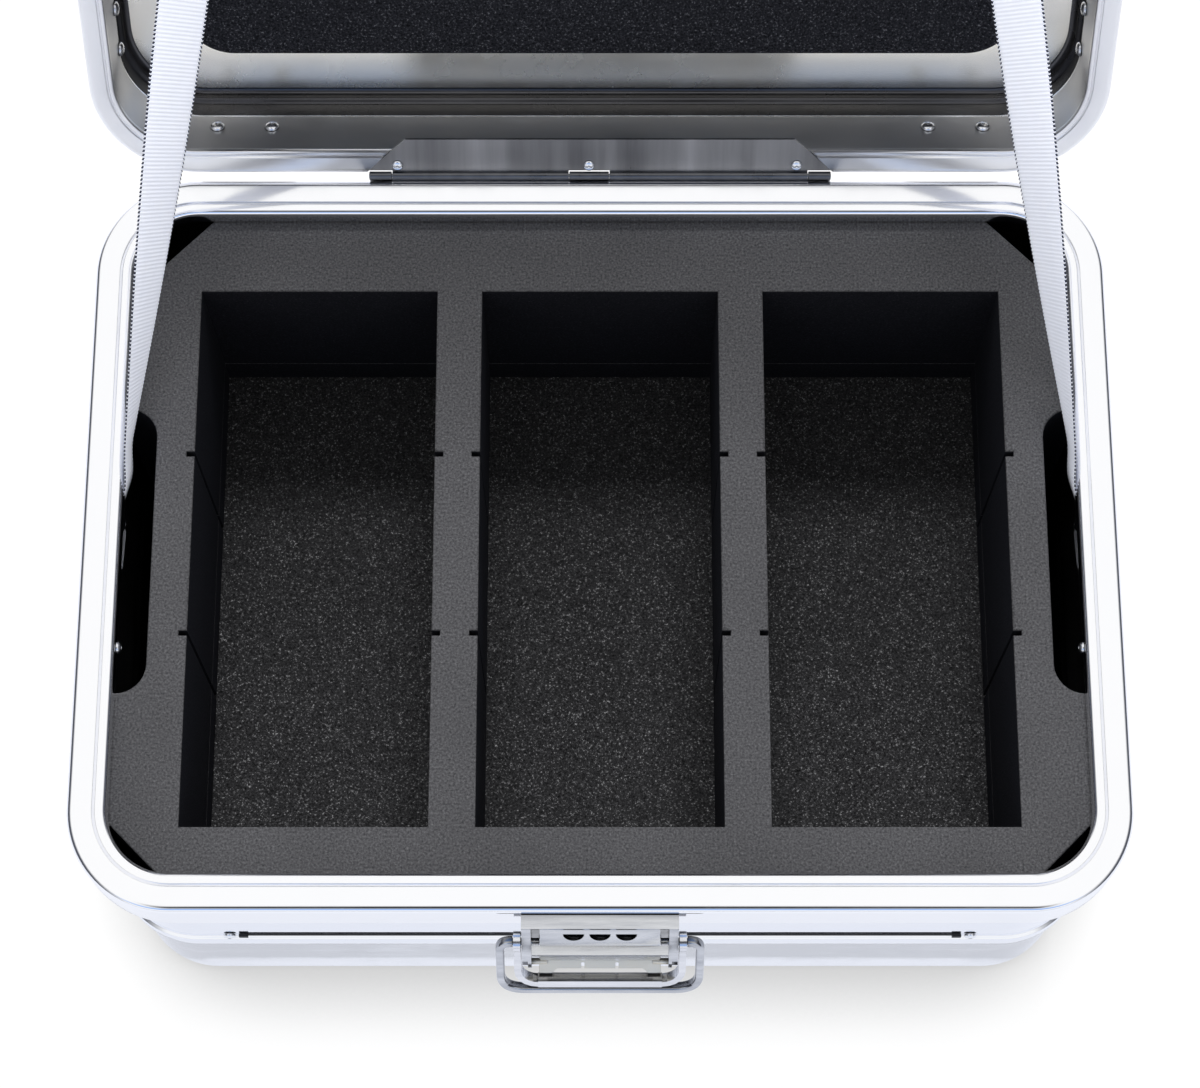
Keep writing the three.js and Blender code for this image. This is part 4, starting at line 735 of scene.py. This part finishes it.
def foam_layer(bottom, top, edge=0.9, steps=3):
    """Walls of the outline and the bays, whose top edges round in over a quarter circle, and two flat faces."""
    angle = np.linspace(0, np.pi / 2, steps + 1)
    levels = np.concatenate([[bottom], top - edge + edge * np.sin(angle)])
    insets = np.concatenate([[0], edge * (1 - np.cos(angle))])
    loops = [(foam_outline(), -1)] + [(bay_outline(step * BAY_STEP), 1) for step in (-1, 0, 1)]
    points, faces, finishes, shift = [], [], [], 0
    rims = {0: [], len(levels) - 1: []}
    for outline, outwards in loops:
        rows = [np.column_stack([grown(outline, outwards * inset), np.full(len(outline), level)])
                for inset, level in zip(insets, levels)]
        walls = quads(len(rows), len(outline), False)
        walls = walls if outwards < 0 else walls[:, ::-1]
        faces += (walls + shift).tolist()
        # Walls take the darker cut foam, partly painted shade.
        finishes += [CUT] * len(outline) + [SKIN] * (len(walls) - len(outline))
        for row in rims:
            rims[row].append(shift + row * len(outline) + np.arange(len(outline)))
        points.append(np.concatenate(rows))
        shift += len(rows) * len(outline)
    points = np.concatenate(points)
    for row, rings in rims.items():
        flat = np.concatenate(rings)
        triangles = tessellate_polygon([[Vector((*points[i][:2], 0)) for i in ring] for ring in rings])
        upward = row > 0
        for triangle in triangles:
            a, b, c = (points[flat[i]][:2] for i in triangle)
            clockwise = (b[0] - a[0]) * (c[1] - a[1]) < (b[1] - a[1]) * (c[0] - a[0])
            face = [int(flat[i]) for i in triangle]
            faces.append(face[::-1] if clockwise == upward else face)
            finishes.append(SKIN if upward else CUT)
    return points, faces, finishes


for label, low, high in (("upper", 90.3, 178.8), ("lower", 72.1, 90.0)):
    *layer_shape, layer_finishes = foam_layer(low, high, 0.9 if label == "upper" else 0.3)
    layer = new_piece(f"foam_layer_{label}", layer_shape, [skin_foam, cut_foam_with_painted_shade], BODY,
                      [f"foam_insert_{label}"], face_materials=layer_finishes)

# %% [markdown]
# ## The foam base and the lid's pad
#
# Both are coarse black foam. The base fills the body under the bays and follows its rolled corner with a slanted
# edge. The pad is glued to the lid's panel. It is the same kind of sweep, round a smaller rectangle.

# %% Base and pad
base_corners = [(60, 1.9), (12.5 + 10.6, 1.9), (12.5, 12.5), (12.5, 71.8), (60, 71.8)]
base_section = np.minimum(filleted(base_corners, [0, 3, 3, 0.8, 0], closed=False), [44.9, np.inf])
base = new_piece("foam_base_block", skin(round_the_case(base_section)), [black_foam], BODY,
                 ["foam_base"])

PAD_LENGTH, PAD_DEPTH, PAD_LOW, PAD_HIGH, PAD_EDGE = 375, 235, 43.5, 53.5, 1.6
pad_section = np.concatenate([
    arc(PAD_EDGE, PAD_LOW + PAD_EDGE, PAD_EDGE, 270, 180, 4),
    arc(PAD_EDGE, PAD_HIGH - PAD_EDGE, PAD_EDGE, 180, 90, 4),
])
pad_points = round_rectangle(pad_section, PAD_LENGTH / 2, PAD_DEPTH / 2, 22, 16) + [0, -36 - PAD_DEPTH / 2, 0]
pad = new_piece("lid_pad", skin(opened(pad_points)), [pad_foam], LID, ["lid_foam_pad"])

# %% [markdown]
# ## Rivets and screws
#
# A blind rivet shows a domed head with the broken stem as a small dimple. One profile is turned round an axis,
# then aimed and placed wherever a rivet sits. The heads are small, so a few dozen faces each are enough.

# %% Rivet shapes
def dome(radius, height, dimple=0.32, steps=5):
    """Head profile from its rim to its middle: an upright edge, a quarter ellipse, and a shallow dimple."""
    t = np.linspace(0, 1, steps + 1) * np.arccos(dimple)
    edge = height * 0.22
    curve = np.column_stack([radius * np.cos(t), edge + (height - edge) * np.sin(t) / np.sin(np.arccos(dimple))])
    hollow = np.array([[radius * dimple * 0.82, height * 0.8], [radius * 0.02, height * 0.74]])
    return np.concatenate([[[radius, 0]], curve, hollow])


def turned(profile, columns=20):
    """Turns (radius, height) pairs round the Z axis."""
    angle = np.linspace(0, 2 * np.pi, columns, endpoint=False)
    radius, height = profile[:, :1], np.broadcast_to(profile[:, 1:], (len(profile), columns))
    return np.stack([radius * np.cos(angle), radius * np.sin(angle), height], axis=-1)


def rivet(grip, tail, radius=3.25, height=1.9, shank=1.6):
    """A head above Z = 0, a shank down through the grip, and a second head if it has a tail."""
    head = np.concatenate([[[shank, 0]], dome(radius, height)])
    foot = (head * [1, -1] - [0, grip])[::-1] if tail else np.array([[0.02, -grip], [shank, -grip]])
    return turned(np.concatenate([foot, head]))


def aimed(points, direction, place):
    """Turns points from +Z to a direction, with the turn built from three perpendicular unit vectors."""
    forward = unit(np.asarray(direction, float))
    across = unit(np.cross([0, 0, 1.0] if abs(forward[2]) < 0.9 else [1.0, 0, 0], forward))
    return points @ np.stack([across, np.cross(forward, across), forward]) + np.asarray(place, float)


def add_rivets(name, shapes, body, replaced):
    """All the rivets or screws of one body as a single piece."""
    new_piece(name, gather([skin(points) for points in shapes]), [fixing_metal], body, replaced)


print("points in one rivet:", rivet(5, True).reshape(-1, 3).shape[0])

# %% Rivets in the body
body_rivets = []
for sign in (1, -1):
    body_rivets.append(aimed(rivet(2.2, True, 2.6), (-sign, 0, 0), (sign * 207.7, -50.8, 182.6)))
    body_rivets.append(aimed(rivet(3.9, True), (-sign, 0, 0), (sign * 212.9, 14, 156)))
    body_rivets += [aimed(rivet(13.5, True), (0, -1, 0), (sign * 23, -170.1, BODY_HEIGHT - drop)) for drop in (40, 52)]
hinge_places = (-91.0, -5.0, 88.3)
for x in hinge_places:
    body_rivets.append(aimed(rivet(3.8, False, 2.6, 1.3), (0, 1, 0), (x, 168.8, 178)))
add_rivets("body_rivets", body_rivets, BODY, named(
    "side_rivet_body right left", "strap_rivet_body right left",
    "latch_rivet right_upper right_lower left_upper left_lower", "hinge_rivet_body left middle right",
))

# %% Rivets in the lid
lid_rivets = []
for sign in (1, -1):
    for place in (48, 69):
        lid_rivets.append(aimed(rivet(2.2, True), (-sign, 0, 0), (sign * 214.6, -place, 29.4)))
    for side in (1, -1):
        lid_rivets.append(aimed(rivet(8.9, False), (0, -1, 0), (sign * 161 + side * 12.35, -11.8, 21.4)))
    lid_rivets.append(aimed(rivet(3.9, True), (0, -0.12, -1), (sign * 141, -308, 50.6)))
    lid_rivets.append(aimed(rivet(13.0, True), (0, -1, 0), (sign * 14, -338.0, 24.9)))
for x in hinge_places:
    lid_rivets.append(aimed(rivet(2.4, False, 2.6, 1.3), (0, 0, -1), (x, -5.3, 0.4)))
add_rivets("lid_rivets", [opened(points) for points in lid_rivets], LID, named(
    "side_rivet_lid right_rear right_front left_rear left_front",
    "foot_rivet_lid right_outer right_inner left_outer left_inner",
    "strap_rivet_lid right left", "strike_rivet right left", "hinge_rivet_lid left middle right",
))

# %% Screws of the trim strip
screws = [aimed(rivet(1.9, False, 2.7, 1.8, 1.35), (0, -1, 0), (sign * 165.2, -159.1, 96.05)) for sign in (1, -1)]
add_rivets("trim_screws", screws, BODY, named("trim_screw right left"))

# %% [markdown]
# ## Straps
#
# Each strap is a ribbon of ribbed webbing. Riveted flat to the side wall, it passes under the rim's lip, turns a
# quarter while it rises, and is riveted flat to the lid. The path is a polyline with rounded corners, walked at an
# even pace. At each step the ribbon's cross-section, a flat loop with round edges, is placed in a frame that turns
# with the twist. A wave along the length raises the ribs and nibbles at the edges.

# %% Strap path
def strap_path(sign):
    """Even points on the rounded path, and where its free stretch starts and ends, along it and in space."""
    panel = opened([[sign * 141, -294, 52.9], [sign * 141, -320, 49.9]])
    corners = np.array([(213.9, 6, 143), (213.9, 12, 166), (207, 27, 177.5), (207, 38.5, 185.4)])
    corners = np.concatenate([corners * [sign, 1, 1], panel])
    line = filleted(corners, [0, 4, 4, 5, 6, 0], steps=8, closed=False)
    length = np.concatenate([[0], np.cumsum(np.linalg.norm(np.diff(line, axis=0), axis=1))])
    pace = np.arange(0, length[-1], RIB / 5)
    even = np.column_stack([np.interp(pace, length, line[:, axis]) for axis in range(3)])
    leave, meet = (pace[np.argmin(np.linalg.norm(even - corner, axis=1))] for corner in corners[3:5])
    return even, pace, leave, meet, corners[3:5]


def strap_shape(sign):
    """The ribbon: cross-section points times a wide and a thick direction, which turn together about the path."""
    path, pace, leave, meet, _ = strap_path(sign)
    tangent = unit(np.gradient(path, axis=0))
    flat = unit(np.array([1.0, 0, 0]) - tangent * tangent[:, :1])
    across = np.cross(tangent, flat)
    share = np.clip((pace - leave) / (meet - leave) / 0.6, 0, 1)
    turn = (-sign * np.pi / 2 * (1 - share))[:, None]
    wide = flat * np.cos(turn) + across * np.sin(turn)
    thick = np.cross(tangent, wide)
    u = np.sin(np.linspace(-np.pi / 2, np.pi / 2, 11))
    edge = np.sqrt(np.clip(1 - np.abs(u) ** 8, 0, 1))
    loop_u = np.concatenate([u, u[-2:0:-1]])
    loop_v = np.concatenate([edge, -edge[-2:0:-1]])
    rib = 0.5 + 0.5 * np.cos(2 * np.pi * pace / RIB)[:, None]
    half_wide = STRAP_WIDTH / 2 - 0.45 * (1 - rib)
    half_thick = STRAP_THICK / 2 - 0.22 * (1 - rib)
    points = (path[:, None] + wide[:, None] * (half_wide * loop_u)[..., None]
              + thick[:, None] * (half_thick * loop_v)[..., None])
    return points, loop_u, pace


def map_strap(piece, loop_u, pace):
    """UV map: U is the place across from 0 to 1 and V the length in strap widths."""
    columns = len(loop_u)
    corner = np.empty(len(piece.data.loops), dtype=np.int32)
    piece.data.loops.foreach_get("vertex_index", corner)
    uv = np.column_stack([(loop_u[corner % columns] + 1) / 2, pace[corner // columns] / STRAP_WIDTH])
    layer = piece.data.uv_layers.new(name="UVMap")
    layer.data.foreach_set("uv", uv.astype(np.float32).ravel())


for sign, side in ((1, "right"), (-1, "left")):
    strap_points, strap_u, strap_pace = strap_shape(sign)
    strap = new_piece(f"webbing_{side}", skin(strap_points), [webbing], BODY, [f"strap_{side}"],
                      smooth=60.0)
    map_strap(strap, strap_u, strap_pace)
    strap.parent = None
    first, last = strap_path(sign)[4] * MM
    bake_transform(strap)

# %% [markdown]
# ## Stamped and cast parts with softened edges
#
# The latch, the hinge leaves, the feet and the trim strip already have their true shape in the engineering model,
# but its edges are razor sharp, and real ones catch a thin line of light. A copy of each mesh is merged and its
# flat faces are joined, and a Bevel modifier rounds every edge that turns by more than 30 degrees.

# %% Softened copies
def softened(name, node, width, materials, body, segments=2):
    """A copy of a node's mesh: doubles merged, coplanar faces joined, edges bevelled by a width in millimetres."""
    work = bmesh.new()
    work.from_mesh(nodes[node].data)
    bmesh.ops.remove_doubles(work, verts=work.verts, dist=0.02 * MM)
    bmesh.ops.dissolve_limit(work, angle_limit=np.radians(1.0), verts=work.verts, edges=work.edges)
    piece = add_mesh(name)
    work.to_mesh(piece.data)
    work.free()
    cover(piece, materials)
    bevel = piece.modifiers.new("soft edges", "BEVEL")
    bevel.width, bevel.segments = width * MM, segments
    bevel.limit_method, bevel.angle_limit = "ANGLE", np.radians(30)
    bevel.harden_normals = True
    return finish_piece(piece, body, [node])


softened("latch_plate", "latch_base", 0.3, [latch_metal], BODY)
softened("lock_cover", "lock_housing", 0.3, [tab_metal], BODY)
softened("release_tab_plate", "release_plate", 0.25, [release_metal], "release")
softened("lever_frame", "latch_lever", 0.55, [lever_metal], "lever", segments=3)
softened("strike_hook", "latch_strike", 0.35, [latch_metal], LID)
for place in ("right", "middle", "left"):
    softened(f"number_wheel_{place}", f"dial_{place}", 0.12, [dial_plastic], f"{place}_dial", segments=1)
softened("trim_strip", "front_trim_strip", 0.12, [black_rubber], BODY)
for side in ("right", "left"):
    softened(f"body_foot_{side}", f"rear_foot_body_{side}", 0.6, [black_rubber], BODY, segments=3)
    softened(f"lid_foot_{side}", f"rear_foot_lid_{side}", 0.6, [black_rubber], LID, segments=3)

# %% [markdown]
# ## The hinge
#
# The lid's leaf is a trapezoid of steel with faint streaks across it, and its knuckles have a plain grey finish.
# Both are one piece, so the faces are sorted by how far their middle lies from the hinge axis.

# %% Hinge leaves
def mark_knuckles(leaf, reach=2.2):
    """Gives the second material to faces whose middle is within a reach in millimetres of the hinge axis."""
    middle = np.empty(len(leaf.data.polygons) * 3, dtype=np.float32)
    leaf.data.polygons.foreach_get("center", middle)
    away = np.linalg.norm(middle.reshape(-1, 3)[:, 1:] / MM - HINGE[1:], axis=1)
    leaf.data.polygons.foreach_set("material_index", (away < reach).astype(np.int32))


for half, body in (("lid", LID), ("body", BODY)):
    mark_knuckles(softened(f"hinge_plate_{half}", f"hinge_leaf_{half}", 0.14, [hinge_metal, knuckle_metal], body))

# %% [markdown]
# ## The bail
#
# The bail is a flat bar bent into a U, with a round stub at each end that reaches into the lever's cheek. A
# rounded rectangle is carried along the bend, and the bar is then put through the same two turns as in the latch:
# it hangs from the lever, and the lever leans out from the case.

# %% Bail
LEVER_TURN, BAIL_TURN = np.radians(-29.6), np.radians(4.9)


def bail_to_case(points):
    """From the bail's own frame, through the lever's, to the case."""
    return tilted(tilted(points, BAIL_TURN, (0, -3.3, 3.9)), LEVER_TURN, (0, -175.1, 166))


def bail_bar():
    """A rounded 3.6 by 4.4 mm section carried along the bent line, square to it at each point."""
    inner, half, length = 36.8, 42.3, 34.0
    line = filleted([(-inner, 0), (-half, 0), (-half, -length), (half, -length), (half, 0), (inner, 0)],
                    [0, 5, 10.5, 10.5, 5, 0], steps=10, closed=False)
    tangent = unit(np.gradient(line, axis=0))
    normal = np.column_stack([-tangent[:, 1], tangent[:, 0]])
    section = filleted([(-1.8, -2.2), (1.8, -2.2), (1.8, 2.2), (-1.8, 2.2)], 1.3, steps=4)
    flat = line[:, None] + normal[:, None] * section[None, :, :1]
    return np.stack([flat[..., 0], np.broadcast_to(section[None, :, 1], flat.shape[:2]), flat[..., 1]], axis=-1)


stubs = [rod(1.5, (sign * 33.9, sign * 38.6), 20) for sign in (1, -1)]
bail_parts = [skin(bail_to_case(points)) for points in (bail_bar(), *stubs)]
new_piece("bail_loop", gather(bail_parts), [bail_metal], "bail", ["latch_bail"], smooth=40.0)

# %% [markdown]
# ## Parts that stay as they are
#
# Pins, the axle and the bolt sit inside other parts, and their engineering meshes are right. They only get a
# finish.

# %% Finishes for kept nodes
for kept in ("hinge_pin", "dial_axle", "lock_bolt", "pivot_stud_right", "pivot_stud_left"):
    nodes[kept].data.materials.clear()
    nodes[kept].data.materials.append(fixing_metal)
print("kept as modelled: hinge pin, dial axle, lock bolt and two pivot studs")

# %% [markdown]
# ## Floor and light
#
# The case stands on a white floor in a white room. The floor glows white to the camera and a pale blue-white to
# mirrors and glass. Near the case the camera sees a painted contact shadow, where the glow is dimmed by how open the
# floor is within 6 cm; only a faint diffuse share of the floor takes the lamp's real shadow. In reflections the room
# is white overhead, greyer at the horizon and bluish in front, which tints the rounded edges of the rims. Its sides
# are dark, so that bright metal gets an outline, and it has one dark place high above the front, where a camera
# hangs from its stand. A large lamp behind the lid leaves the rear of the foam in the lid's shade.

# %% Floor
FLOOR_HALF, FLOOR_LEVEL = 6.0, -0.0002
floor_corners = [(x * FLOOR_HALF, y * FLOOR_HALF, FLOOR_LEVEL) for x, y in ((-1, -1), (1, -1), (1, 1), (-1, 1))]
floor = add_mesh("floor", floor_corners, [(0, 1, 2, 3)])
floor_material = bpy.data.materials.new("white floor")
floor.data.materials.append(floor_material)
tree = empty_nodes(floor_material)
matt = add_node(tree, "BsdfDiffuse", {"Color": (0.80, 0.80, 0.80, 1.0)})
thin = add_node(tree, "BsdfDiffuse", {"Color": (0.14, 0.14, 0.14, 1.0)})
# Painted contact shadow: the camera's white glow is dimmed near the case by how open the floor is.
painted_contact_shade = remap(tree, openness(tree, 0.06, samples=16), 0.47, 0.84, 0.57, 0.95)
rays = add_node(tree, "LightPath")
mirrored = maths(tree, "MAXIMUM", (rays, "Is Glossy Ray"), (rays, "Is Transmission Ray"))
direct = maths(tree, "MAXIMUM", (rays, "Is Camera Ray"), mirrored)
tint = mix(tree, mirrored, WHITE, linear(229, 232, 241))
glow = add_node(tree, "Emission", {"Color": tint, "Strength": maths(tree, "MAXIMUM", painted_contact_shade, mirrored)})
seen = add_node(tree, "AddShader", {0: thin, 1: glow})
add_node(tree, "OutputMaterial", {"Surface": add_node(tree, "MixShader", {0: direct, 1: matt, 2: seen})})
print("floor is", round(floor.dimensions.x, 1), "m wide")

# %% World
world = bpy.data.worlds.new("white room")
scene.world = world
room = empty_nodes(world)
direction = (add_node(room, "TexCoord"), "Generated")
along = add_node(room, "SeparateXYZ", {0: direction})
horizon = add_node(room, "ValToRGB", {"Fac": (along, "Z")})
ramp = horizon.color_ramp
ramp.elements[0].position, ramp.elements[0].color = 0.0, linear(120, 134, 168)
ramp.elements[1].position, ramp.elements[1].color = 0.16, WHITE
ramp.elements.new(0.035).color = linear(232, 234, 240)
front = maths(room, "MULTIPLY", remap(room, (along, "Y"), -0.50, -0.72), remap(room, (along, "Z"), 0.36, 0.52))
fronted = mix(room, front, horizon, linear(150, 186, 242), blend_type="MULTIPLY")
sideness = remap(room, maths(room, "ABSOLUTE", (along, "X")), 0.55, 0.80)
sided = mix(room, sideness, fronted, linear(84, 87, 97))
stand = add_node(room, "VectorMath", {0: direction, 1: (0, -0.366, 0.931)}, operation="DOT_PRODUCT")
patched = mix(room, remap(room, (stand, "Value"), 0.950, 0.985), sided, (0.05, 0.05, 0.055, 1.0))
even = add_node(room, "Background", {"Color": WHITE, "Strength": 0.44})
mirrored_sky = add_node(room, "Background", {"Color": patched, "Strength": 1.0})
white = add_node(room, "Background", {"Color": WHITE, "Strength": 1.0})
sky_rays = add_node(room, "LightPath")
unseen = add_node(room, "MixShader", {0: (sky_rays, "Is Glossy Ray"), 1: even, 2: mirrored_sky})
sky = add_node(room, "MixShader", {0: (sky_rays, "Is Camera Ray"), 1: unseen, 2: white})
add_node(room, "OutputWorld", {"Surface": sky})

lamp_data = bpy.data.lights.new("key lamp", "AREA")
lamp_data.energy, lamp_data.size = 58.0, 1.0
lamp = bpy.data.objects.new("key lamp", lamp_data)
lamp.location = (0.1, 1.75, 2.45)
lamp.rotation_euler = (Vector((0, 0, 0.15)) - lamp.location).to_track_quat("-Z", "Y").to_euler()
lamp.visible_glossy = False
scene.collection.objects.link(lamp)
